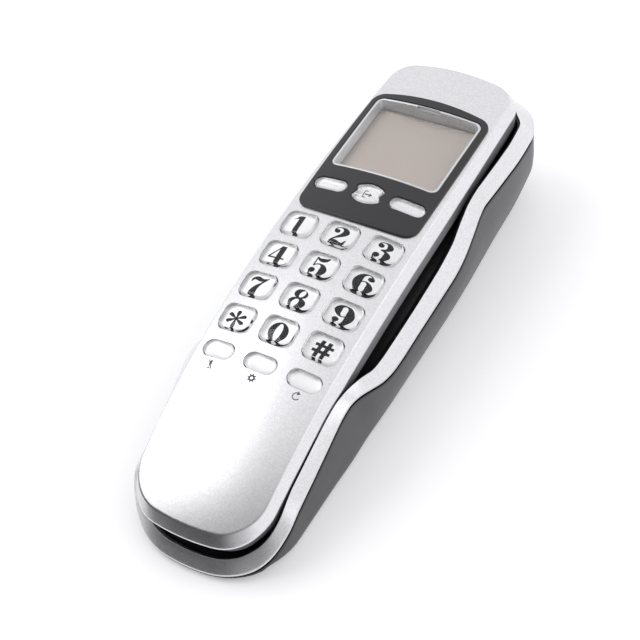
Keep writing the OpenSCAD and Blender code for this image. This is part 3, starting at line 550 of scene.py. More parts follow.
def realised(obj):
    """Turns the result of a piece's modifiers into its plain mesh."""
    dg = bpy.context.evaluated_depsgraph_get()
    made = bpy.data.meshes.new_from_object(obj.evaluated_get(dg))
    obj.modifiers.clear()
    old = obj.data
    obj.data = made
    made.name = old.name
    bpy.data.meshes.remove(old)


# ---- geometry trees ---------------------------------------------------------------------

MATH = "ShaderNodeMath"
VECTORS = "ShaderNodeVectorMath"
XYZ = "ShaderNodeCombineXYZ"
COPIES = "GeometryNodeInstanceOnPoints"
LINE = "GeometryNodeMeshLine"


def node(tree, kind, inputs=(), out=0, **settings):
    """Adds a node and gives one output; inputs are sockets or values, by place or by name."""
    n = tree.nodes.new(kind)
    for key, value in settings.items():
        setattr(n, key, value)
    for key, value in inputs.items() if isinstance(inputs, dict) else enumerate(inputs):
        if isinstance(value, bpy.types.NodeSocket):
            tree.links.new(value, n.inputs[key])
        else:
            n.inputs[key].default_value = value
    return n.outputs[out] if n.outputs else None


def new_tree(name, **sizes):
    """Geometry tree with named inputs: whole numbers are counts, the others lengths in mm."""
    t = bpy.data.node_groups.new(name, "GeometryNodeTree")
    for way in ("INPUT", "OUTPUT"):
        t.interface.new_socket("Geometry", in_out=way, socket_type="NodeSocketGeometry")
    for label, value in sizes.items():
        count = isinstance(value, int)
        s = t.interface.new_socket(label.replace("_", " ").capitalize(), in_out="INPUT",
                                   socket_type="NodeSocketInt" if count else "NodeSocketFloat")
        s.default_value = value if count else value * MM
        if not count:
            s.subtype = "DISTANCE"
    return t, node(t, "NodeGroupInput").node.outputs


def finish_tree(t, shape, material, points=None):
    """Ends a tree in plain mesh of one material, on each incoming point if they are given."""
    if points:
        shape = node(t, COPIES, {"Points": points, "Instance": shape})
    real = node(t, "GeometryNodeRealizeInstances", [shape])
    painted = node(t, "GeometryNodeSetMaterial", {"Geometry": real, "Material": material})
    node(t, "NodeGroupOutput", [painted])
    return t


def straight_runs(curve, points):
    """Leads a float curve through points (0..1, 0..1) in straight runs; gives its output."""
    line = curve.node.mapping.curves[0].points
    for p in points[1:-1]:
        line.new(*p)
    line[0].location, line[len(line) - 1].location = points[0], points[-1]
    for p in line:
        p.handle_type = "VECTOR"
    curve.node.mapping.update()
    return curve


def swept(t, path, radius, sides, links=None):
    """Round bar with closed ends along a curve."""
    ring = node(t, "GeometryNodeCurvePrimitiveCircle", {"Radius": radius, "Resolution": sides})
    return node(t, "GeometryNodeCurveToMesh",
                {"Curve": path, "Profile Curve": ring, "Fill Caps": True, **(links or {})})


def turned_bar(t, low, high, radius, points, sides=32):
    """Bar along Z from low to high whose radius follows a profile."""
    ends = {"Start": node(t, XYZ, {"Z": low}), "End": node(t, XYZ, {"Z": high})}
    axis = node(t, "GeometryNodeCurvePrimitiveLine", ends)
    axis = node(t, "GeometryNodeResampleCurve", {"Curve": axis, "Count": 12})
    along = node(t, "GeometryNodeSplineParameter", out="Factor")
    scale = straight_runs(node(t, "ShaderNodeFloatCurve", {"Value": along}), points)
    return swept(t, axis, radius, sides, {"Scale": scale})


def screw_tree(material):
    """Pan-head screw on its seat: head with a cross recess, pointed shank, cut thread."""
    t, size = new_tree("pan_head_screw", head_radius=2.6, head_height=1.7, recess_width=0.7,
                       shank_radius=1.15, shank_length=10.0, thread_pitch=0.95, thread_depth=0.28)
    top = node(t, MATH, (size["Head height"], -1), operation="MULTIPLY")
    pan = [(0, 0.66), (0.2, 0.86), (0.5, 0.98), (0.8, 1), (1, 1)]
    head = turned_bar(t, top, 0.0, size["Head radius"], pan)
    reach = node(t, MATH, (size["Head radius"], 1.25), operation="MULTIPLY")
    block = node(t, XYZ, (reach, size["Recess width"], size["Head height"]))
    arm = node(t, "GeometryNodeMeshCube", {"Size": block})
    place = node(t, XYZ, {"Z": top})
    cross = node(t, "GeometryNodeMeshBoolean", {"Mesh 1": head}, operation="DIFFERENCE",
                 solver="EXACT")
    for degrees in (0, 90):
        turned_arm = node(t, "GeometryNodeTransform", {"Geometry": arm, "Translation": place,
                          "Rotation": (0, 0, math.radians(degrees))})
        t.links.new(turned_arm, cross.node.inputs["Mesh 2"])
    radius, length_ = size["Shank radius"], size["Shank length"]
    shank = turned_bar(t, -0.2 * MM, length_, radius, [(0, 1), (0.9, 1), (1, 0.4)], 20)
    run = node(t, MATH, (length_, 0.88), operation="MULTIPLY")
    turns = node(t, MATH, (run, size["Thread pitch"]), operation="DIVIDE")
    coil = node(t, "GeometryNodeCurveSpiral", {"Rotations": turns, "Start Radius": radius,
                "End Radius": radius, "Height": run, "Resolution": 16})
    screw = node(t, "GeometryNodeJoinGeometry", [cross])
    for piece in (shank, swept(t, coil, size["Thread depth"], 3)):
        t.links.new(piece, screw.node.inputs[0])
    return finish_tree(t, screw, material, size["Geometry"])


def spring_tree(material):
    """Pressure spring with closed end coils, standing on its point."""
    t, size = new_tree("pressure_spring", coil_radius=2.5, wire_radius=0.3, free_length=6.4,
                       coils=7)
    radius, wire = size["Coil radius"], size["Wire radius"]
    coil = node(t, "GeometryNodeCurveSpiral", {"Rotations": size["Coils"], "Start Radius": radius,
                "End Radius": radius, "Resolution": 28})
    along = node(t, "GeometryNodeSplineParameter", out="Factor")
    rise = straight_runs(node(t, "ShaderNodeFloatCurve", {"Value": along}),
                         [(0, 0), (0.15, 0.09), (0.85, 0.91), (1, 1)])
    ends = node(t, MATH, (wire, 2), operation="MULTIPLY")
    room = node(t, MATH, (size["Free length"], ends), operation="SUBTRACT")
    climb = node(t, MATH, (rise, room), operation="MULTIPLY")
    level = node(t, MATH, (wire, climb), operation="ADD")
    at = node(t, "ShaderNodeSeparateXYZ", [node(t, "GeometryNodeInputPosition")]).node.outputs
    lifted = node(t, "GeometryNodeSetPosition",
                  {"Geometry": coil, "Position": node(t, XYZ, (at["X"], at["Y"], level))})
    return finish_tree(t, swept(t, lifted, wire, 10), material, size["Geometry"])


def contact_tree(material):
    """Row of sprung wire contacts under the roof of a modular jack that opens towards -Y."""
    t, size = new_tree("jack_contacts", contacts=4, contact_pitch=1.02, wire_radius=0.2,
                       roof=2.6, reach=10.0)
    reach, pitch = size["Reach"], size["Contact pitch"]
    roof = node(t, MATH, (size["Roof"], size["Wire radius"]), operation="SUBTRACT")
    back, fold, dip = [node(t, MATH, pair, operation="MULTIPLY")
                       for pair in ((reach, 1.15), (reach, -0.45), (size["Roof"], -0.1))]
    places = {label: node(t, XYZ, {"Y": y, "Z": z}) for label, y, z in (
        ("Start", back, roof), ("Middle", fold, roof), ("End", reach, dip))}
    bend = node(t, "GeometryNodeCurveQuadraticBezier", {**places, "Resolution": 20})
    wire = swept(t, bend, size["Wire radius"], 10)
    gaps = node(t, MATH, (size["Contacts"], 1.0), operation="SUBTRACT")
    width = node(t, MATH, (gaps, pitch), operation="MULTIPLY")
    start = node(t, MATH, (width, -0.5), operation="MULTIPLY")
    row = node(t, LINE, {"Count": size["Contacts"], "Start Location": node(t, XYZ, [start]),
               "Offset": node(t, XYZ, [pitch])})
    wires = node(t, COPIES, {"Points": row, "Instance": wire})
    return finish_tree(t, wires, material, size["Geometry"])


def drill_tree(material):
    """Drills for a star of sound holes round each point: one in the middle, rings of arms."""
    t, size = new_tree("sound_holes", rings=2, arms=6, hole_pitch=3.4, hole_radius=0.8,
                       drill_length=9.0)
    step = node(t, XYZ, [size["Hole pitch"]])
    ray = node(t, LINE, {"Count": size["Rings"], "Start Location": step, "Offset": step})
    hub = node(t, LINE, {"Count": size["Arms"], "Offset": (0, 0, 0)})
    turn = node(t, MATH, (node(t, "GeometryNodeInputIndex"), size["Arms"]), operation="DIVIDE")
    angle = node(t, MATH, (turn, 2 * math.pi), operation="MULTIPLY")
    star = node(t, COPIES, {"Points": hub, "Instance": ray, "Rotation": node(t, XYZ, {"Z": angle})})
    holes = node(t, "GeometryNodeJoinGeometry", [star])
    t.links.new(node(t, LINE, {"Count": 1}), holes.node.inputs[0])
    spots = node(t, "GeometryNodeRealizeInstances", [holes])
    drill = node(t, "GeometryNodeMeshCylinder", {"Radius": size["Hole radius"],
                 "Depth": size["Drill length"], "Vertices": 20})
    drills = node(t, COPIES, {"Points": spots, "Instance": drill})
    return finish_tree(t, drills, material, size["Geometry"])


def rim_tree(material):
    """Band swept round the incoming outline: a soft section whose width and heights are fields."""
    t, size = new_tree("swept_rim", lip_height=3.0, rounding=70.0, divisions=3)
    path = node(t, "GeometryNodeMeshToCurve", {"Mesh": size["Geometry"]})
    square = node(t, "GeometryNodeCurvePrimitiveQuadrilateral", {"Width": 1, "Height": 1})
    soft = node(t, "GeometryNodeFilletCurve",
                {"Curve": square, "Radius": size["Rounding"], "Count": 4}, mode="POLY")
    shape = node(t, "GeometryNodeSubdivideCurve", {"Curve": soft, "Cuts": size["Divisions"]})
    at = node(t, "ShaderNodeSeparateXYZ", [node(t, "GeometryNodeInputPosition")]).node.outputs
    for label, axis in (("across", "X"), ("level", "Y")):
        share = node(t, MATH, (at[axis], 0.5), operation="ADD")
        shape = node(t, "GeometryNodeStoreNamedAttribute",
                     {"Geometry": shape, "Name": label, "Value": share})
    band = node(t, "GeometryNodeCurveToMesh", {"Curve": path, "Profile Curve": shape})
    kinds = dict.fromkeys(("across", "level", "outer", "inner", "skirt", "width"), "FLOAT")
    kinds.update(inward="FLOAT_VECTOR", spot="FLOAT_VECTOR")
    field = {label: node(t, "GeometryNodeInputNamedAttribute", {"Name": label}, "Attribute",
                         data_type=kind) for label, kind in kinds.items()}

    def between(a, b, share):
        span = node(t, MATH, (b, a), operation="SUBTRACT")
        part = node(t, MATH, (span, share), operation="MULTIPLY")
        return node(t, MATH, (a, part), operation="ADD")

    crest = between(field["outer"], field["inner"], field["across"])
    skirt = node(t, MATH, (field["inner"], field["skirt"]), operation="SUBTRACT")
    depth = between(size["Lip height"], skirt, field["across"])
    below = node(t, MATH, (1.0, field["level"]), operation="SUBTRACT")
    drop = node(t, MATH, (below, depth), operation="MULTIPLY")
    height = node(t, MATH, (crest, drop), operation="SUBTRACT")
    reach = node(t, MATH, (field["across"], field["width"]), operation="MULTIPLY")
    inward = node(t, VECTORS, {0: field["inward"], "Scale": reach}, operation="SCALE")
    spot = node(t, VECTORS, (field["spot"], inward), operation="ADD")
    place = node(t, VECTORS, (spot, node(t, XYZ, {"Z": height})), operation="ADD")
    rim = node(t, "GeometryNodeSetPosition", {"Geometry": band, "Position": place})
    return finish_tree(t, rim, material)


def grown(name, tree, points, place=ON_SLOPE, edges=(), fields=None, **sizes):
    """Plain object that a tree makes from points in mm; its inputs are set by identifier."""
    mesh = bpy.data.meshes.new(name)
    mesh.from_pydata([Vector(p) * MM for p in points], edges, [])
    for label, values in (fields or {}).items():
        flat = isinstance(values[0], float)
        held = mesh.attributes.new(label, "FLOAT" if flat else "FLOAT_VECTOR", "POINT")
        held.data.foreach_set("value" if flat else "vector",
                              values if flat else [c for v in values for c in v])
    obj = bpy.data.objects.new(name, mesh)
    bpy.context.scene.collection.objects.link(obj)
    grow = obj.modifiers.new("grow", "NODES")
    grow.node_group = tree
    for item in tree.interface.items_tree:
        key = item.name.lower().replace(" ", "_")
        if item.in_out == "INPUT" and key in sizes:
            v = sizes.pop(key)
            grow[item.identifier] = v if isinstance(v, int) else v * MM
    if sizes:
        raise ValueError(f"{tree.name} has no input for {sorted(sizes)}")
    realised(obj)
    obj.data.name = name
    obj.data.transform(place)
    bm = bmesh.new()
    bm.from_mesh(obj.data)
    if not bm.faces:
        raise ValueError(f"{tree.name} made nothing")
    bmesh.ops.recalc_face_normals(bm, faces=bm.faces)
    for face in bm.faces:
        face.material_index = 0
    bm.to_mesh(obj.data)
    bm.free()
    finish = next(m for m in obj.data.materials if m)
    obj.data.materials.clear()
    obj.data.materials.append(finish)
    shade(obj, 40)
    return obj


# ---- materials --------------------------------------------------------------------------

PRINCIPLED = "ShaderNodeBsdfPrincipled"
NOISE = "ShaderNodeTexNoise"
BUMP = "ShaderNodeBump"
RANGE = "ShaderNodeMapRange"


def new_material(name):
    m = bpy.data.materials.new(name)
    m.use_nodes = True
    m.node_tree.nodes.clear()
    return m, m.node_tree


def finish_material(m, shader):
    node(m.node_tree, "ShaderNodeOutputMaterial", {"Surface": shader})
    return m


def textured(name, colour, rough, metal=0.0, grain=0.3, bump=0.02, spread=0.06, patch=0.03,
             spec=0.5, mottle=14.0):
    """Even surface with a fine grain, and slow patches in its colour, both sized in mm.

    A moulding's grain is really 0.03 to 0.1 mm, and is drawn as coarse as it needs to show.
    """
    m, t = new_material(name)
    at = node(t, "ShaderNodeTexCoord", out="Object")
    fine = node(t, NOISE, {"Vector": at, "Scale": 1 / (grain * MM), "Detail": 3, "Roughness": 0.6})
    slow = node(t, NOISE, {"Vector": at, "Scale": 1 / (mottle * MM), "Detail": 2})
    sheen = node(t, RANGE, {"Value": fine, "From Min": 0.3, "From Max": 0.7,
                 "To Min": rough - spread, "To Max": rough + spread})
    dark, pale = ((*(min(1, c * k) for c in colour), 1) for k in (1 - patch, 1 + patch))
    tint = node(t, "ShaderNodeMix", {"Factor": slow, 6: dark, 7: pale}, 2, data_type="RGBA")
    relief = node(t, BUMP, {"Height": fine, "Strength": 0.35, "Distance": bump * MM})
    return finish_material(m, node(t, PRINCIPLED, {"Base Color": tint, "Roughness": sheen,
                           "Normal": relief, "Metallic": metal, "Specular IOR Level": spec}))


def metallic_paint(name, colour):
    """Sprayed silver paint: bright and dull flakes and a slight orange peel, sized in mm.

    Real flakes are about 0.05 mm across, and are drawn as coarse as they need to show.
    """
    m, t = new_material(name)
    at = node(t, "ShaderNodeTexCoord", out="Object")
    cells = node(t, "ShaderNodeTexVoronoi", {"Vector": at, "Scale": 1 / (0.34 * MM)}, "Color")
    spark = node(t, "ShaderNodeSeparateColor", {"Color": cells}, "Red")
    tone = node(t, "ShaderNodeValToRGB", {"Fac": spark})
    for stop, share in zip(tone.node.color_ramp.elements, (0.9, 1.06)):
        stop.color = (*(min(1, c * share) for c in colour), 1)
    wave = node(t, NOISE, {"Vector": at, "Scale": 1 / (0.8 * MM), "Detail": 3, "Roughness": 0.6})
    sheen = node(t, RANGE, {"Value": wave, "From Min": 0.3, "From Max": 0.7, "To Min": 0.29,
                 "To Max": 0.39})
    relief = node(t, BUMP, {"Height": wave, "Strength": 0.5, "Distance": 0.03 * MM})
    return finish_material(m, node(t, PRINCIPLED, {"Base Color": tone, "Roughness": sheen,
                           "Normal": relief, "Metallic": 0.92, "Coat Weight": 0.2,
                           "Coat Roughness": 0.2}))


def clear(name, colour, rough=0.02):
    """Clear acrylic moulding, slightly wavy, that lets the lamps straight through."""
    m, t = new_material(name)
    at = node(t, "ShaderNodeTexCoord", out="Object")
    flow = node(t, NOISE, {"Vector": at, "Scale": 1 / (3 * MM), "Detail": 1})
    relief = node(t, BUMP, {"Height": flow, "Strength": 0.2, "Distance": 0.01 * MM})
    body = node(t, PRINCIPLED, {"Base Color": (*colour, 1), "Normal": relief, "Roughness": rough,
                "IOR": 1.49, "Transmission Weight": 1})
    shadow = node(t, "ShaderNodeLightPath", out="Is Shadow Ray")
    through = node(t, "ShaderNodeBsdfTransparent")
    return finish_material(m, node(t, "ShaderNodeMixShader", (shadow, body, through)))


def make_materials(colours):
    """Each finish of the phone; the comment above it says what its making gives the eye."""
    c = {k: tuple(getattr(colours, k)) for k in colours.__annotations__}
    return {
        # sprayed: sparkling flakes and a soft wavy gloss
        "silver": metallic_paint("silver_metallic_paint", c["silver"]),
        # moulded in a fine-grained tool: even, with broad soft highlights
        "grey": textured("dark_grey_moulded_plastic", c["grey"], 0.34, bump=0.01, spread=0.05),
        # the same plastic, a little glossier, and paler as painted light: the paleness stands in
        # for light that the back cover's sides lack in the gap by the cradle
        "shell_painted_paler": textured("satin_grey_moulded_plastic", c["shell_painted_paler"], 0.3, bump=0.01, spread=0.05),
        # moulded in a plain tool: deep black with a dull shine along the edges
        "tray": textured("black_moulded_plastic", c["tray"], 0.32, grain=0.35, bump=0.01),
        # lacquered: smooth and dark, with a satin light over its curve
        "bezel": textured("satin_black_lacquer", c["bezel"], 0.3, grain=0.25, bump=0.006,
                          spread=0.03),
        # plated: pale metal with sharp bright edges
        "frame": textured("plated_plastic", c["frame"], 0.26, metal=0.45, grain=0.2, bump=0.004,
                          spread=0.03, patch=0.01),
        # glass over a diffuser: warm grey with a very faint speckle
        "lcd": textured("liquid_crystal_glass", c["glass"], 0.5, grain=0.4, bump=0.0005,
                        spread=0.03, mottle=20, spec=0.3),
        # polished clear mouldings: bright rims, and bent images of what lies under them
        "key": clear("clear_acrylic", c["key"]),
        "lens": clear("clear_display_lens", c["key"], rough=0.01),
        # vacuum-plated under a white coat: glows white inside the clear key
        "backing": textured("white_key_backing", c["backing"], 0.4, metal=0.65, grain=0.4,
                            bump=0.004, patch=0.01, spec=0.3),
        # pad-printed inks: flat, with a dry surface
        "ink": textured("black_printing_ink", c["ink"], 0.5, grain=0.2, bump=0.002, spec=0.1),
        "label": textured("grey_printing_ink", c["label"], 0.4, grain=0.2, bump=0.002),
        # pressed silicone: dull and slightly powdery
        "rubber": textured("silicone_rubber", srgb("#8b8d90"), 0.6, grain=0.4),
        # pressed rubber and foam: dull black, no highlight
        "foot": textured("black_rubber", srgb("#161617"), 0.7, bump=0.03),
        # laminated board: green lacquer with the weave of the glass cloth showing as patches
        "board": textured("glass_epoxy_board", srgb("#2c5a3a"), 0.35, grain=0.5, bump=0.01,
                          patch=0.1),
        # moulded without paint: ivory, or black, with a soft plastic shine
        "pale": textured("ivory_moulded_plastic", srgb("#d8d4c6"), 0.38, bump=0.01),
        "black": textured("black_jack_plastic", srgb("#1b1b1c"), 0.36, bump=0.01),
        # barrel-plated: grey metal with a slightly cloudy shine
        "steel": textured("zinc_plated_steel", srgb("#b9b9b6"), 0.28, metal=1.0, grain=0.25,
                          bump=0.006),
        # plated wire and stamped sheet: clean warm metal
        "gold": textured("gilt_contact_metal", srgb("#d8b25e"), 0.22, metal=1.0, grain=0.2,
                         bump=0.003),
        "brass": textured("brass_disc", srgb("#c8a04e"), 0.3, metal=1.0, bump=0.006),
        # cast and dipped: rough, with thick and thin paint
        "iron": textured("painted_iron", srgb("#5c5c5f"), 0.5, metal=0.6, grain=0.5, bump=0.03,
                         patch=0.1),
    }


CARRIED = {
    "display_lens": "lens", "lcd_module": "lcd", "keypad_mat": "rubber", "handset_board": "board",
    "receiver": "pale", "receiver_gasket": "foot", "microphone": "steel",
    "microphone_boot": "foot", "handset_jack": "black", "base_board": "board",
    "line_jack": "pale", "cord_jack": "black", "hook_plunger": "pale", "hook_switch": "black",
    "ringer": "brass", "ringer_holder": "black", "ringer_slider": "black",
    "ringer_switch": "steel", "ballast_weight": "iron", "rubber_feet": "foot",
}


def paint():
    """Materials, made once and kept in the file."""
    if "silver_metallic_paint" not in bpy.data.materials:
        paint.made = make_materials(bpy.context.scene.phone_colours)
    return paint.made


def form():
    return Form(bpy.context.scene.phone_sizes)


# ---- printed figures --------------------------------------------------------------------


def spline(points):
    """Catmull-Rom reading of points of any size."""
    pts = [points[0]] + list(points) + [points[-1]]
    out = []
    for a, b, c, d in zip(pts, pts[1:], pts[2:], pts[3:]):
        for t in (k / 6 for k in range(6)):
            out.append(tuple(
                0.5 * (2 * q + (r - p) * t + (2 * p - 5 * q + 4 * r - s) * t * t
                       + (3 * q - p - 3 * r + s) * t**3)
                for p, q, r, s in zip(a, b, c, d)))
    return out + [tuple(points[-1])]


def stroke(*points):
    """Outline of a pen stroke whose width changes on its way: points are (x, y, width)."""
    line = spline(points)
    left, right = [], []
    for i, (x, y, w) in enumerate(line):
        x0, y0, _ = line[max(0, i - 1)]
        x1, y1, _ = line[min(len(line) - 1, i + 1)]
        d = math.hypot(x1 - x0, y1 - y0) or 1
        nx, ny = -(y1 - y0) / d * w / 2, (x1 - x0) / d * w / 2
        left.append((x + nx, y + ny))
        right.append((x - nx, y - ny))
    return left + right[::-1]


def oval(x, y, rx, ry, tilt=0.0):
    c, s = math.cos(math.radians(tilt)), math.sin(math.radians(tilt))
    turns = [2 * math.pi * i / 40 for i in range(40)]
    pts = [(rx * math.cos(t), ry * math.sin(t)) for t in turns]
    return [(x + a * c - b * s, y + a * s + b * c) for a, b in pts]


def block(x0, y0, x1, y1, slant=0.0):
    return [(x0 + slant * y0, y0), (x1 + slant * y0, y0), (x1 + slant * y1, y1),
            (x0 + slant * y1, y1)]


def turned(shapes, x, y):
    """Shapes turned half a turn about a point."""
    return [[(2 * x - a, 2 * y - b) for a, b in s] for s in shapes]


def figure(name):
    """Filled outlines and holes of a figure, 100 high and standing on 0."""
    if name == "0":
        return [oval(35, 50, 34, 50)], [oval(35, 50, 12, 43)]
    if name == "1":
        flag = stroke((4, 76, 3), (14, 80, 5), (24, 90, 14), (33, 98, 6))
        return [block(26, 2, 52, 100), block(8, 0, 70, 6), flag], []
    if name == "2":
        top = stroke((6, 74, 5), (9, 88, 5), (24, 97, 5), (42, 92, 16), (51, 76, 26), (42, 57, 19),
                     (24, 38, 9), (10, 20, 6), (3, 4, 5))
        foot = stroke((2, 3, 4), (10, 13, 10), (24, 15, 20), (42, 9, 20), (58, 12, 12), (66, 32, 4))
        return [top, foot, oval(16, 73, 11, 11)], []
    if name == "3":
        upper = stroke((5, 78, 5), (10, 91, 5), (26, 97.5, 5), (42, 92, 16), (49, 77, 24),
                       (41, 62, 12), (22, 54, 5))
        lower = stroke((22, 54, 5), (42, 49, 12), (52, 29, 28), (42, 9, 14), (24, 2.5, 5),
                       (8, 9, 5), (3, 22, 5))
        return [upper, lower, oval(15, 77, 11, 11), oval(14, 24, 12, 12)], []
    if name == "4":
        slope = [(42, 100), (48, 100), (10, 33), (2, 33)]
        return [block(38, 2, 62, 100), block(26, 0, 74, 6), block(2, 27, 76, 34), slope], []
    if name == "5":
        flag = stroke((11, 97, 3), (20, 88, 12), (34, 86, 21), (48, 92, 15), (58, 105, 3))
        bowl = stroke((11, 48, 4), (20, 58, 5), (34, 62, 8), (48, 52, 20), (53, 31, 28),
                      (44, 9, 16), (26, 2.5, 5), (9, 8, 5), (3, 22, 5))
        return [flag, block(9, 46, 13.5, 97), bowl, oval(14, 24, 12, 12)], []
    if name in ("6", "9"):
        back = stroke((56, 84, 5), (48, 95, 5), (36, 97.5, 5), (20, 86, 16), (13, 62, 26),
                      (13, 38, 27), (20, 12, 16), (35, 2.5, 5))
        bowl = stroke((35, 2.5, 5), (50, 10, 14), (56, 30, 24), (50, 50, 14), (37, 59, 5),
                      (24, 52, 5), (19, 40, 4))
        shapes = [back, bowl, oval(50, 79, 11, 11)]
        return (shapes if name == "6" else turned(shapes, 35, 50)), []
    if name == "7":
        bar = stroke((5, 68, 4), (9, 84, 12), (22, 90, 20), (40, 85, 19), (56, 92, 8), (66, 100, 3))
        stem = stroke((64, 99, 4), (46, 68, 8), (34, 42, 18), (29, 18, 26), (28, 1, 27))
        return [bar, stem], []
    if name == "8":
        return ([oval(35, 75, 25, 25), oval(35, 27, 32, 27)],
                [oval(40, 76, 9, 20, -14), oval(29, 26, 11, 21, -14)])
    if name == "star":
        petals = []
        for k in range(6):
            a = math.radians(90 + 60 * k)
            ux, uy = math.cos(a), math.sin(a)
            petals.append(stroke(*[(36 + r * ux, 50 + r * uy, w) for r, w in ((0, 6), (14, 10),
                                                                              (26, 16), (38, 20))]))
            petals.append(oval(36 + 38 * ux, 50 + 38 * uy, 10, 10))
        return petals + [oval(36, 50, 6, 6)], []
    if name == "hash":
        bars = [block(11, 4, 29, 96, 0.12), block(43, 4, 61, 96, 0.12), block(-2, 26, 80, 41),
                block(2, 60, 86, 75)]
        return bars, []
    if name == "mute":
        slash = [(10, 92), (18, 98), (90, 8), (82, 2)]
        return [oval(50, 66, 15, 32), block(46, 8, 54, 36), block(28, 4, 72, 12), slash], []
    if name == "set":
        teeth = [stroke((50, 50, 14), (50 + 46 * math.cos(a), 50 + 46 * math.sin(a), 14))
                 for a in (math.radians(45 * k) for k in range(8))]
        return teeth + [oval(50, 50, 34, 34)], [oval(50, 50, 15, 15)]
    if name == "redial":
        a = [math.radians(60 + 28 * k) for k in range(11)]
        turn = stroke(*[(50 + 36 * math.cos(t), 50 + 36 * math.sin(t), 9) for t in a])
        return [turn, [(50, 104), (50, 62), (82, 84)]], []
    arrow = [(70, 28), (70, 72), (100, 50)]
    return [block(20, 44, 74, 56), arrow, stroke((40, 88, 9), (8, 88, 9)),
            stroke((40, 12, 9), (8, 12, 9)), stroke((8, 92, 9), (8, 8, 9))], []


def winding(p, poly):
    """Times a closed outline goes round a point."""
    total = 0
    for (x0, y0), (x1, y1) in zip(poly, poly[1:] + poly[:1]):
        side = (x1 - x0) * (p[1] - y0) - (p[0] - x0) * (y1 - y0)
        if y0 <= p[1] < y1 and side > 0:
            total += 1
        if y1 <= p[1] < y0 and side < 0:
            total -= 1
    return total


BROAD = {"0": 1.42, "1": 1.05, "2": 1.3, "3": 1.32, "4": 1.18, "5": 1.32, "6": 1.5, "7": 1.38,
         "8": 1.36, "9": 1.5, "star": 1.2, "hash": 1.15}


def add_figure(bm, name, height, surface, thick, place=(0, 0)):
    """Thin closed layer of ink in the shape of a figure, lying on surface(x, y)."""
    fills, holes = figure(name)
    xs = [x for s in fills for x, _ in s]
    mid = (min(xs) + max(xs)) / 2
    k = height / 100
    broad = BROAD.get(name, 1)

    def scaled(s):
        return [((x - mid) * k * broad + place[0], (y - 50) * k + place[1]) for x, y in s]

    fills, holes = [scaled(s) for s in fills], [scaled(s) for s in holes]
    points, edges = [], []
    for s in fills + holes:
        first = len(points)
        points += [Vector(p) for p in s]
        edges += [(first + i, first + (i + 1) % len(s)) for i in range(len(s))]
    verts, _, faces, *_ = delaunay_2d_cdt(points, edges, [], 0, 1e-5)
    inked = []
    for f in faces:
        c = sum((verts[i] for i in f), Vector((0, 0))) / len(f)
        if any(winding(c, s) for s in fills) and not any(winding(c, s) for s in holes):
            inked.append(f)
    used = sorted({i for f in inked for i in f})
    low = {i: bm.verts.new((*verts[i], surface(*verts[i]))) for i in used}
    top = {i: bm.verts.new((*verts[i], surface(*verts[i]) + thick)) for i in used}
    sides = {}
    for f in inked:
        bm.faces.new([top[i] for i in f])
        bm.faces.new([low[i] for i in reversed(f)])
        for a, b in zip(f, list(f[1:]) + [f[0]]):
            if (b, a) in sides:
                del sides[(b, a)]
            else:
                sides[(a, b)] = True
    for a, b in sides:
        bm.faces.new((low[a], low[b], top[b], top[a]))


# ---- handset ----------------------------------------------------------------------------


def key_shape(g, name):
    """Outline, place, height above the face, hole width, length and corner of a key."""
    if name in PILLS:
        x, y = g.pill_places[PILLS.index(name)]
        return pill_outline(11.8, 5.8, 2.8), (x, y), g.key_proud - 0.3, 12.4, 6.4, 3.1
    if name in SOFTS:
        i = SOFTS.index(name)
        w, l = (10.8, 8.6) if i == 1 else (13, 5)
        return (soft_outline(i == 1, w, l), g.soft_places[i], g.bezel_proud + g.key_proud - 0.9,
                w + 0.6, l + 0.6, 2.4)
    x, y = g.digit_places[DIGITS.index(name[4:])]
    return (pill_outline(g.key_w, g.key_l, g.key_r), (x, y), g.key_proud, g.key_w + 0.6,
            g.key_l + 0.6, g.key_r + 0.3)


def soft_outline(middle, w, l):
    """A long pill, or in the middle a bowed outline with notched sides."""
    if not middle:
        return pill_outline(w, l, l / 2 - 0.1)
    bow = whole(half_outline(w / 2, 0, -l / 2, l / 2, (60, 60), (9, 9), (0.9, 0.9),
                             (6, 8, 6, 6, 8, 6)))
    return [(x - 1.2 * math.copysign(1, x) * max(0, 1 - abs(y) / 2), y, u, v) for x, y, u, v in bow]


def hole_tool(g, outline, place, lift=0.0, flare=0.22):
    """Cutter of a key hole, with a small chamfer at the surface."""
    o = shifted(outline, *place)
    wide = inset(o, -flare)
    rings = [raised(o, -16), raised(o, lambda x, y: g.face_z(x, y) + lift - flare),
             raised(wide, lambda x, y: g.face_z(x, y) + lift + 0.02), raised(wide, 8)]
    return lofted("tool", rings, (0, 0, 0, 0), lambda x, y: -16, lambda x, y: 8, 2)


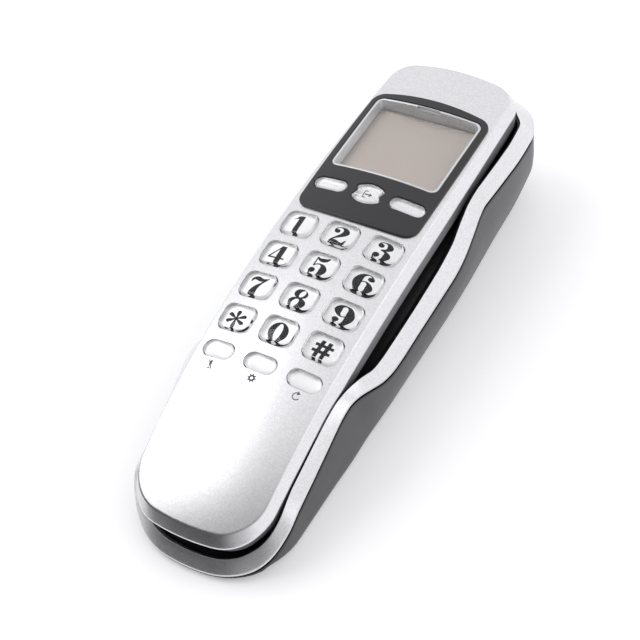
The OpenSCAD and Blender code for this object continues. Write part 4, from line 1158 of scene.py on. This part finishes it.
def make_front_cover(g):
    o = g.crease()
    lip = inset(o, lambda y: -g.bevel_at(y))
    parts = [g.parting(x, y) for x, y, *_ in o]
    foot, crest = raised(lip, [z + g.lip_h for z in parts]), raised(o, g.face_z)
    bevel = [[Vector(a).lerp(Vector(b), k) for a, b in zip(foot, crest)] for k in (0.14, 0.8)]

    def inside(x, y):
        return g.face_z(x, y) - g.wall

    rings = [raised(inset(o, g.wall), inside), raised(inset(lip, g.wall), parts),
             raised(lip, parts), foot, *bevel, crest, raised(inset(o, 1.2), g.face_z)]
    cover = lofted("front_cover_surface", rings, (0, 0, 0.2, 0.3, 0, 0, 0.55, 0), inside,
                   g.face_z, 28, paint()["silver"])
    window = pill_outline(g.window_w + 0.8, g.window_l + 0.8, 3.4, 6, 3)

    def key_hole(name, more=0, flare=0.22):
        _, place, _, w, l, r = key_shape(g, name)
        return hole_tool(g, pill_outline(w + more, l + more, r, 6, 3), place, flare=flare)

    cut(cover, *[key_hole(name) for name in KEYS if name not in SOFTS],
        hole_tool(g, window, (0, g.window_y), flare=0.05),
        *[key_hole(name, 0.8, 0.05) for name in SOFTS])
    bm = bmesh.new()
    for x, y in g.hand_screws:
        low, high = g.parting_mid(y) + 0.3, g.face_z(x, y) - 0.5 * g.wall
        rings = [(1.2, low + 2.9), (1.2, low), (3.8, low), (3.8, high)]
        add_disc_stack(bm, rings, (x, y, 0), 32)
    joined(cover, bm)
    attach(cover, "handset")
    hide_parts("handset_front_cover")


def make_back_cover(g):
    o = g.crease()
    lip = inset(o, lambda y: -g.bevel_at(y))
    edge = inset(lip, 0.4)

    def shoulder(more):
        """Outline of the shoulder, drawn in further by more."""
        return inset(lip, lambda y: 1.2 + 1.8 * ease((-72 - y) / 14) + more)

    def inside(x, y):
        return g.back_z(x, y) + g.wall

    parts = [g.parting(x, y) - 0.15 for x, y, *_ in o]
    sides = [g.parting(x, y) - g.side_h for x, y, *_ in o]
    flank = [0.7 * g.back_z(x, y) + 0.3 * z for (x, y, *_), z in zip(shoulder(3.2), sides)]
    rings = [raised(inset(lip, 9), g.back_z), raised(shoulder(3.2), flank),
             raised(shoulder(0), sides), raised(edge, parts), raised(inset(edge, g.wall), parts),
             raised(shoulder(g.wall), [z + 0.6 for z in sides]), raised(inset(lip, 10), inside)]
    # painted light: the back cover takes the paler copy of the case's grey, standing in for light
    # its sides lack in the gap
    cover = lofted("back_cover_surface", rings, (0, 1.6, 1.6, 0.2, 0, 0, 0), g.back_z, inside, 16,
                   paint()["shell_painted_paler"])
    bm = bmesh.new()
    for x, y in g.hand_screws:
        z = g.back_z(x, y)
        add_disc_stack(bm, [(2.9, z - 4), (2.9, z + 2.8)], (x, y, 0))
    for x in (-3, 3):
        add_disc_stack(bm, [(0.7, -4), (0.7, 4)], (x, -69, g.back_z(0, -69)), 16)
    tilt = Matrix.Rotation(math.radians(HANDSET_JACK_TILT), 4, "X")
    add_box(bm, (-5.4, -5.2, -3.4), (5.4, 13.2, 3.4), Matrix.Translation(HANDSET_JACK) @ tilt)
    openings = mesh_object("tool", bm)
    drills = grown("tool", drill_tree(paint()["shell_painted_paler"]), [(0, 76, g.back_z(0, 76))])
    cut(cover, openings, drills)
    bm = bmesh.new()
    for x, y in g.hand_screws:
        add_tube(bm, (x, y), 4.2, 1.5, g.back_z(x, y) + 0.6, g.parting_mid(y), (2.9, 2.2))
    joined(cover, bm)
    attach(cover, "handset")
    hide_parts("handset_back_cover")


def make_bezel(g):
    o = whole(half_outline(g.bezel_w / 2, (g.bezel_y0 + g.bezel_y1) / 2, g.bezel_y0, g.bezel_y1,
                           (1200, 1200), (220, 135), (5.4, 5), (8, 10, 14, 14, 10, 8)))

    def foot(x, y):
        return g.face_z(x, y) + 0.12

    def top(x, y):
        return g.face_z(x, y) + g.bezel_proud

    rings = [raised(o, foot), raised(o, top), raised(inset(o, 1.4), top)]
    bezel = lofted("bezel_surface", rings, (0, 0.5, 0), foot, top, 26, paint()["bezel"])
    window = pill_outline(g.window_w, g.window_l, 3, 8, 4)
    tools = [hole_tool(g, window, (0, g.window_y), g.bezel_proud, 0.12)]
    for name in SOFTS:
        outline, place, *_ = key_shape(g, name)
        tools.append(hole_tool(g, inset(outline, -0.3), place, g.bezel_proud, 0.18))
    cut(bezel, *tools)
    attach(bezel, "handset")
    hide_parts("display_bezel")


def make_display_frame(g):
    w, l = g.window_w, g.window_l
    outer = shifted(pill_outline(w - 0.3, l - 0.3, 2.85), 0, g.window_y)
    mouth = shifted(pill_outline(w - 2.1, l - 2.1, 2.1), 0, g.window_y)
    throat = shifted(pill_outline(g.glass_w, g.glass_l, 1.2), 0, g.glass_y)
    lift = g.bezel_proud - 0.15
    glass = g.glass_depth / math.cos(g.window_pitch)

    def low(x, y):
        return g.on_window(y) - g.glass_depth - 1

    def top(x, y):
        return g.face_z(x, y) + lift

    rings = [raised(throat, low), raised(outer, low), raised(outer, top), raised(mouth, top),
             raised(throat, lambda x, y: g.on_window(y) - glass - 0.02)]
    ring = lofted("display_frame_surface", rings, (0, 0, 0.35, 0.4, 0.1), None, None, 2,
                  paint()["frame"], loop=True)
    bm = bmesh.new()
    notch = Matrix.Translation((0, g.window_y, g.face_z(0, g.window_y)))
    add_box(bm, (-4.7, l / 2 - 2.1, -0.6), (4.7, l / 2 - 0.6, 2.3),
            notch @ Matrix.Rotation(g.window_pitch, 4, "X"))
    cut(ring, mesh_object("tool", bm))
    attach(ring, "handset")
    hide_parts("display_frame")


def print_figure(piece, mark, height, surface, thick, place, ink):
    """A printed figure or sign as a piece of its own."""
    bm = bmesh.new()
    add_figure(bm, mark, height, surface, thick, place)
    return mesh_object(piece, bm, material=paint()[ink])


def make_key(g, name):
    """Clear cap, the white backing inside it, and the figure or sign printed on the backing."""
    outline, (px, py), proud, w, l, r = key_shape(g, name)
    digit = name.startswith("key_")
    dome, drop_z, edge_r, crown_in = (0.25, 0.1, 0.6, 0.9) if digit else (0.45, 0.2, 0.75, 1.3)
    a, b = max(p[0] for p in outline), max(p[1] for p in outline)

    def top(x, y):
        d = max(abs(x / a), abs(y / b)) ** 3 if digit else (x / a) ** 2 + (y / b) ** 2
        return g.face_z(x + px, y + py) + proud - dome * min(1.0, d)

    flange = shifted(pill_outline(w + 1.4, l + 1.4, min(r, (l + 1.2) / 2), 8, 6), px, py)
    side, crown = shifted(outline, px, py), inset(outline, crown_in)
    rings = [raised(flange, -7.6), raised(flange, -6.85), raised(side, -6.8),
             raised(side, [top(x, y) - drop_z for x, y, *_ in outline]),
             raised(shifted(crown, px, py), [top(x, y) for x, y, *_ in crown])]
    cap = lofted(name + "_cap", rings, (0, 0.1, 0.1, edge_r, 0), lambda x, y: -7.6,
                 lambda x, y: top(x - px, y - py), 12, paint()["key"], smooth=40)
    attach(cap, name)
    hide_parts(name)
    floor = proud - (3.6 if digit else 3.0)
    bm = bmesh.new()
    inner = shifted(inset(outline, 0.04), px, py)
    add_prism(bm, inner, -7.4, lambda x, y: g.face_z(x, y) + floor)
    backing = mesh_object(name + "_backing", bm, material=paint()["backing"])
    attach(backing, name)
    if digit:
        mark = name[4:]
        tall = g.digit_h * (0.92 if mark in ("star", "hash") else 1)
        ink = print_figure(name + "_figure", mark, tall, lambda x, y: g.face_z(x, y) + floor - 0.01,
                           0.05, (px - 0.4, py), "ink")
        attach(ink, name)
    elif name == "middle_display_key":
        ink = print_figure(name + "_sign", "out", 3.4, lambda x, y: g.face_z(x, y) + floor - 0.03,
                           0.1, (px - 0.3, py), "label")
        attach(ink, name)


def make_labels(g):
    for sign, (x, y) in zip(("mute", "set", "redial"), g.pill_places):
        label = print_figure(sign + "_sign", sign, 3.4, lambda a, b: g.face_z(a, b) - 0.05, 0.1,
                             (x, y - 5.9), "label")
        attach(label, "handset")


# ---- base -------------------------------------------------------------------------------


def base_ring(o, d, z, flat=False):
    """Outline moved in by d(y), at height z(y); a flat one takes its height where it comes to."""
    return [(x, y, z(y if flat else was)) for (x, y, *_), (_, was, *_) in zip(inset(o, d), o)]


def make_rim(g):
    o = g.rim_outline(3)
    n = len(o)
    ys = [p[1] for p in o]
    fields = {"spot": [(x * MM, y * MM, 0.0) for x, y, _, _ in o],
              "inward": [(-u, -v, 0.0) for _, _, u, v in o]}
    for label, line in (("outer", g.rim_out_z), ("inner", g.rim_in_z), ("skirt", g.rim_face_z),
                        ("width", g.rim_width)):
        fields[label] = [float(line(y) * MM) for y in ys]
    rim = grown("rim_surface", rim_tree(paint()["silver"]), [(x, y, 0) for x, y, _, _ in o],
                edges=[(i, (i + 1) % n) for i in range(n)], fields=fields, lip_height=g.rim_lip)
    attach(rim, "base")
    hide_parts("base_rim")


def make_tray(g):
    o = g.rim_outline(2)
    sole = g.rim_w + g.cradle_gap + 8

    def floor_z(x, y):
        return g.tray_floor_z(y) + 0.0016 * x * x

    def under_z(x, y):
        return floor_z(x, y) - 1.6

    def outer(y):
        return g.rim_width(y) + 0.25

    rings = [
        base_ring(o, lambda y: sole, lambda y: under_z(14, y)),
        base_ring(o, lambda y: outer(y) + 0.8, lambda y: g.tray_flank_z(y) - 1.5),
        base_ring(o, outer, g.tray_top_z),
        base_ring(o, lambda y: outer(y) + 0.9, g.tray_top_z),
        base_ring(o, lambda y: outer(y) + 1.5, g.tray_flank_z),
        base_ring(o, lambda y: sole, lambda y: floor_z(14, y))]
    tray = lofted("tray_surface", rings, (0, 0.6, 0.1, 0.1, 0.8, 0), under_z, floor_z, 10,
                  paint()["tray"], 3)
    bm = bmesh.new()
    add_prism(bm, shifted(pill_outline(8.5, 6.5, 2.2), 0, HOOK_Y), -60, 0)
    cut(tray, mesh_object("tool", bm))
    bm = bmesh.new()
    c, s = math.cos(SLOPE), math.sin(SLOPE)
    for x, at in BASE_SCREWS:
        y = (at + g.tray_floor_z(at) * s) / c
        top = y * s + g.tray_floor_z(y) * c + KEY_HEIGHT - 0.9
        add_disc_stack(bm, [(1.2, 12), (1.2, 5), (3, 5), (3, top)], (x, at, 0), 32)
    joined(tray, bm, on_table)
    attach(tray, "base")
    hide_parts("cradle_tray")


def make_case(g):
    o = g.rim_outline(2)
    flo = g.case_floor_z

    def side(share):
        return base_ring(o, lambda y: g.case_inset(y, share * g.case_h(y)),
                         lambda y: flo(y) + share * g.case_h(y))

    def ledge(y):
        return 0.05 + 0.35 * ease((y - 98) / 10)

    rings = [
        base_ring(o, lambda y: g.case_inset(y, 0) + g.case_round(y), flo, True),
        base_ring(o, lambda y: g.case_inset(y, 0) + 0.3 * g.case_round(y),
                  lambda y: flo(y) + 0.3 * g.case_round(y), True),
        base_ring(o, lambda y: g.case_inset(y, g.case_round(y)),
                  lambda y: flo(y) + g.case_round(y)),
        side(0.45),
        side(0.62),
        side(0.8),
        base_ring(o, lambda y: 0.9, lambda y: g.ledge_z(y, 1.5)),
        base_ring(o, ledge, lambda y: g.ledge_z(y, 1.1)),
        base_ring(o, lambda y: ledge(y) + 0.2, g.case_top_z),
        base_ring(o, lambda y: ledge(y) + 0.35, lambda y: g.ledge_z(y, 0.05)),
        base_ring(o, lambda y: ledge(y) + 0.55, lambda y: g.ledge_z(y, 0.9)),
        base_ring(o, lambda y: 0.7 + g.wall, lambda y: g.ledge_z(y, 0.9)),
        base_ring(o, lambda y: g.case_inset(y, g.wall) + g.wall + 0.5 * g.case_round(y),
                  g.case_inside_z, True)]
    case = lofted("case_surface", rings, (0, 1.2, 2.5, 0, 0, 0, 0.1, 0.15, 0.15, 0.1, 0.1, 0.1, 0),
                  lambda x, y: flo(y), lambda x, y: g.case_inside_z(y), 6, paint()["grey"], 3)
    bm = bmesh.new()
    for x, y in BASE_SCREWS:
        add_disc_stack(bm, [(3, -1), (3, 3)], (x, y, 0), 32)
    for y in KEYHOLES:
        add_disc_stack(bm, [(4.25, -2), (4.25, 8)], (0, y, 0), 40)
    for x, y in FEET:
        add_disc_stack(bm, [(4.6, -1), (4.6, 1.6)], (x, y, 0), 40)
    first = mesh_object("tool", bm, on_table)
    bm = bmesh.new()
    for y in KEYHOLES:
        add_box(bm, (-2.2, y, -2), (2.2, y + KEYHOLE_RUN, 8.1))
    second = mesh_object("tool", bm, on_table)
    bm = bmesh.new()
    for y in KEYHOLES:
        add_disc_stack(bm, [(2.2, -2), (2.2, 8.2)], (0, y + KEYHOLE_RUN, 0), 24)
    x, y, z = -g.base_half, g.line_jack_y, LINE_JACK_Z
    add_box(bm, (-7.3, y - 8, z - 5.8), (7.3, y + 8, z + 5.8))
    add_box(bm, (x - 4.4, -6.1, CORD_JACK_Z - 5), (x + 11.6, 6.1, CORD_JACK_Z + 5))
    y, z = RINGER_SLOT
    add_box(bm, (x - 2.1, y - 4.65, z - 1.5), (x + 9.9, y + 4.65, z + 1.5))
    third = mesh_object("tool", bm, on_table)
    cut(case, first, second, third)
    bm = bmesh.new()
    for spot in BASE_SCREWS:
        add_tube(bm, spot, 4.6, 1.5, 1.3, 4.7, (3, 1.7))
    joined(case, bm, on_table)
    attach(case, "base")
    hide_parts("base_case")


# ---- screws, spring and contacts --------------------------------------------------------


def make_screws(g):
    tree = screw_tree(paint()["steel"])
    screws = []
    for x, y in g.hand_screws:
        seat = g.back_z(x, y) + 2.75
        screws.append(grown("screw", tree, [(x, y, seat)],
                            shank_length=g.parting_mid(y) + 2.5 - seat))
    whole_set = screws[0]
    merge(*screws)
    whole_set.name = whole_set.data.name = "handset_screw_set"
    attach(whole_set, "handset")
    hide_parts("handset_screws")
    low = grown("base_screw_set", tree, [(x, y, 2.95) for x, y in BASE_SCREWS], ON_TABLE,
                head_height=1.6, shank_radius=1.05, shank_length=7.0)
    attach(low, "base")
    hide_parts("base_screws")


def make_spring(g):
    foot = min(g.back_z(0, HOOK_Y - 3), g.back_z(0, HOOK_Y + 3)) - 14.65
    spring = grown("hook_coil", spring_tree(paint()["steel"]), [(0, HOOK_Y, foot)])
    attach(spring, "base")
    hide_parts("hook_spring")


def make_contacts(g):
    tree = contact_tree(paint()["gold"])

    def jack(at, axis, degrees, base):
        return base @ Matrix.Translation(Vector(at) * MM) @ Matrix.Rotation(math.radians(degrees),
                                                                            4, axis)

    rows = (("handset_jack_contacts", "handset", jack(HANDSET_JACK, "X", HANDSET_JACK_TILT,
                                                      ON_SLOPE), 4, 2.6, 9.0),
            ("line_jack_contacts", "base", jack((0, g.line_jack_y, LINE_JACK_Z), "Z", 180,
                                                ON_TABLE), 6, 3.5, 10.0),
            ("cord_jack_contacts", "base", jack((3.6 - g.base_half, 0, CORD_JACK_Z), "Z", -90,
                                                ON_TABLE), 4, 3.3, 9.0))
    for name, body, place, count, roof, reach in rows:
        wires = grown(name, tree, [(0, 0, 0)], place, contacts=count, roof=roof, reach=reach)
        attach(wires, body)


# ---- stage ------------------------------------------------------------------------------


def plain_material(name, colour, rough, spec, glow=0.0):
    """Paper or card; a glow shows only to the camera, in gloss and through clear pieces."""
    m, t = new_material(name)
    shader = node(t, PRINCIPLED, {"Base Color": (*colour, 1), "Roughness": rough,
                  "Specular IOR Level": spec})
    if glow:
        rays = node(t, "ShaderNodeLightPath").node.outputs
        seen = node(t, MATH, (rays["Is Camera Ray"], rays["Is Glossy Ray"]), operation="MAXIMUM")
        seen = node(t, MATH, (seen, rays["Is Transmission Ray"]), operation="MAXIMUM")
        lift = node(t, MATH, (seen, glow), operation="MULTIPLY")
        light = node(t, "ShaderNodeEmission", {"Strength": lift})
        shader = node(t, "ShaderNodeAddShader", (shader, light))
    return finish_material(m, shader)


def make_stage(colours):
    scene = bpy.context.scene
    slope = Matrix.Rotation(SLOPE, 3, "X")

    def plane(name, material, size, place=(0, 0, 0), scale=(1, 1)):
        bpy.ops.mesh.primitive_plane_add(size=size, location=place)
        o = bpy.context.object
        o.name = name
        o.scale = (*scale, 1)
        o.data.materials.append(material)
        return o

    def placed(name, data):
        o = bpy.data.objects.new(name, data)
        scene.collection.objects.link(o)
        return o

    floor = plane("studio_floor", plain_material("studio_paper", colours.floor, 0.8, 0.2, 0.3), 6)

    # the room is dark behind the camera, and bright to the right and from overhead to the far wall
    world = bpy.data.worlds.new("studio_room")
    scene.world = world
    world.use_nodes = True
    t = world.node_tree
    side = node(t, "ShaderNodeTexCoord", out="Generated")
    side = node(t, "ShaderNodeSeparateXYZ", [side]).node.outputs
    level = 0.02
    for axis, start, stop, top in (("X", 0, 0.5, 0.75), ("Z", 0.46, 0.72, 0.24),
                                   ("Y", -0.52, 0.06, 1.04)):
        level = node(t, RANGE, {"Value": side[axis], "From Min": start, "From Max": stop,
                     "To Min": level, "To Max": top}, interpolation_type="SMOOTHSTEP")
    back = t.nodes["Background"]
    back.inputs["Color"].default_value = (*colours.room, 1)
    t.links.new(level, back.inputs["Strength"])

    # square lamps that look at the phone from a direction on the sloping frame
    aim = Vector((0, 0, 0.03))
    for name, towards, distance, width, power in (
            ("key_softbox", (-0.62, -0.06, 0.78), 1.3, 0.8, 4.4),
            ("side_softbox", (0.8, 0.35, 0.6), 1.8, 1.4, 3)):
        lamp = bpy.data.lights.new(name, "AREA")
        lamp.shape = "RECTANGLE"
        lamp.size = lamp.size_y = width
        lamp.energy = power
        o = placed(name, lamp)
        o.location = aim + slope @ Vector(towards).normalized() * distance
        o.rotation_euler = (aim - o.location).to_track_quat("-Z", "Y").to_euler()

    # black cards that only shiny surfaces see: they darken the bevel's foot and the left side
    card = plain_material("black_card", srgb("#141414"), 0.9, 0)
    for name, place, scale in (("front_flag", (-0.51, -1.129, 0.004), (1.18, 2)),
                               ("left_flag", (-0.57, -0.109, 0.004), (1.0, 0.04))):
        o = plane(name, card, 1, place, scale)
        for ray in ("camera", "shadow", "diffuse", "transmission"):
            setattr(o, "visible_" + ray, False)

    # camera: where it stands and how it is turned, on the sloping frame
    right = Vector((0.84843097, 0.48470816, -0.21265673))
    up = Vector((-0.29556395, 0.76713835, 0.56933355))
    behind = Vector((0.43909776, -0.42018655, 0.7941262))
    turn = Matrix([slope @ v for v in (right, up, behind)]).transposed().to_4x4()
    cam = bpy.data.cameras.new("product_camera")
    cam.lens = 89.085
    cam.sensor_width = 36
    cam.dof.use_dof = False
    o = placed("product_camera", cam)
    o.matrix_world = Matrix.Translation(on_slope((241.582, -232.946, 416.519))) @ turn
    scene.camera = o
    scene.view_settings.view_transform = "Standard"


# ---- operators --------------------------------------------------------------------------


class PHONE_OT_stage(bpy.types.Operator):
    """Makes the studio floor, the lamps and the camera"""

    bl_idname = "phone.stage"
    bl_label = "Stage"

    def execute(self, context):
        make_stage(context.scene.phone_colours)
        return {"FINISHED"}


class PHONE_OT_covers(bpy.types.Operator):
    """Makes the painted front cover and the moulded back cover of the handset"""

    bl_idname = "phone.covers"
    bl_label = "Handset covers"

    def execute(self, context):
        g = form()
        make_front_cover(g)
        make_back_cover(g)
        make_labels(g)
        return {"FINISHED"}


class PHONE_OT_display(bpy.types.Operator):
    """Makes the bezel and the plated frame of the display"""

    bl_idname = "phone.display"
    bl_label = "Display"

    def execute(self, context):
        g = form()
        make_bezel(g)
        make_display_frame(g)
        return {"FINISHED"}


class PHONE_OT_keys(bpy.types.Operator):
    """Makes the clear keys with their printed figures"""

    bl_idname = "phone.keys"
    bl_label = "Keys"

    def execute(self, context):
        g = form()
        for name in KEYS:
            make_key(g, name)
        return {"FINISHED"}


class PHONE_OT_base(bpy.types.Operator):
    """Makes the rim, the cradle and the case of the base"""

    bl_idname = "phone.base"
    bl_label = "Base"

    def execute(self, context):
        g = form()
        make_rim(g)
        make_tray(g)
        make_case(g)
        return {"FINISHED"}


class PHONE_OT_screws(bpy.types.Operator):
    """Makes the screws of the handset and of the base"""

    bl_idname = "phone.screws"
    bl_label = "Screws"

    def execute(self, context):
        make_screws(form())
        return {"FINISHED"}


class PHONE_OT_spring(bpy.types.Operator):
    """Makes the coiled spring under the hook plunger"""

    bl_idname = "phone.spring"
    bl_label = "Hook spring"

    def execute(self, context):
        make_spring(form())
        return {"FINISHED"}


class PHONE_OT_contacts(bpy.types.Operator):
    """Makes the wire contacts of the three jacks"""

    bl_idname = "phone.contacts"
    bl_label = "Jack contacts"

    def execute(self, context):
        make_contacts(form())
        return {"FINISHED"}


class PHONE_OT_inner(bpy.types.Operator):
    """Gives the inner and small parts their materials"""

    bl_idname = "phone.inner"
    bl_label = "Inner parts"

    def execute(self, context):
        for name, finish in CARRIED.items():
            slots = frame["nodes"][name].data.materials
            slots.clear()
            slots.append(paint()[finish])
        return {"FINISHED"}


STEPS = (PHONE_OT_stage, PHONE_OT_covers, PHONE_OT_display, PHONE_OT_keys, PHONE_OT_base,
         PHONE_OT_screws, PHONE_OT_spring, PHONE_OT_contacts, PHONE_OT_inner)


class PHONE_PT_sidebar(bpy.types.Panel):
    bl_label = "Slimline phone"
    bl_idname = "PHONE_PT_sidebar"
    bl_space_type = "VIEW_3D"
    bl_region_type = "UI"
    bl_category = "Phone"

    def draw(self, context):
        for step in STEPS:
            self.layout.operator(step.bl_idname)


CLASSES = (PhoneSizes, PhoneColours, *STEPS, PHONE_PT_sidebar)


def register():
    for c in CLASSES:
        bpy.utils.register_class(c)
    bpy.types.Scene.phone_sizes = PointerProperty(type=PhoneSizes)
    bpy.types.Scene.phone_colours = PointerProperty(type=PhoneColours)


def unregister():
    del bpy.types.Scene.phone_colours
    del bpy.types.Scene.phone_sizes
    for c in reversed(CLASSES):
        bpy.utils.unregister_class(c)


def main():
    register()
    bpy.ops.phone.stage()
    bpy.ops.phone.covers()
    bpy.ops.phone.display()
    bpy.ops.phone.keys()
    bpy.ops.phone.base()
    bpy.ops.phone.screws()
    bpy.ops.phone.spring()
    bpy.ops.phone.contacts()
    bpy.ops.phone.inner()


if __name__ == "__main__":
    main()
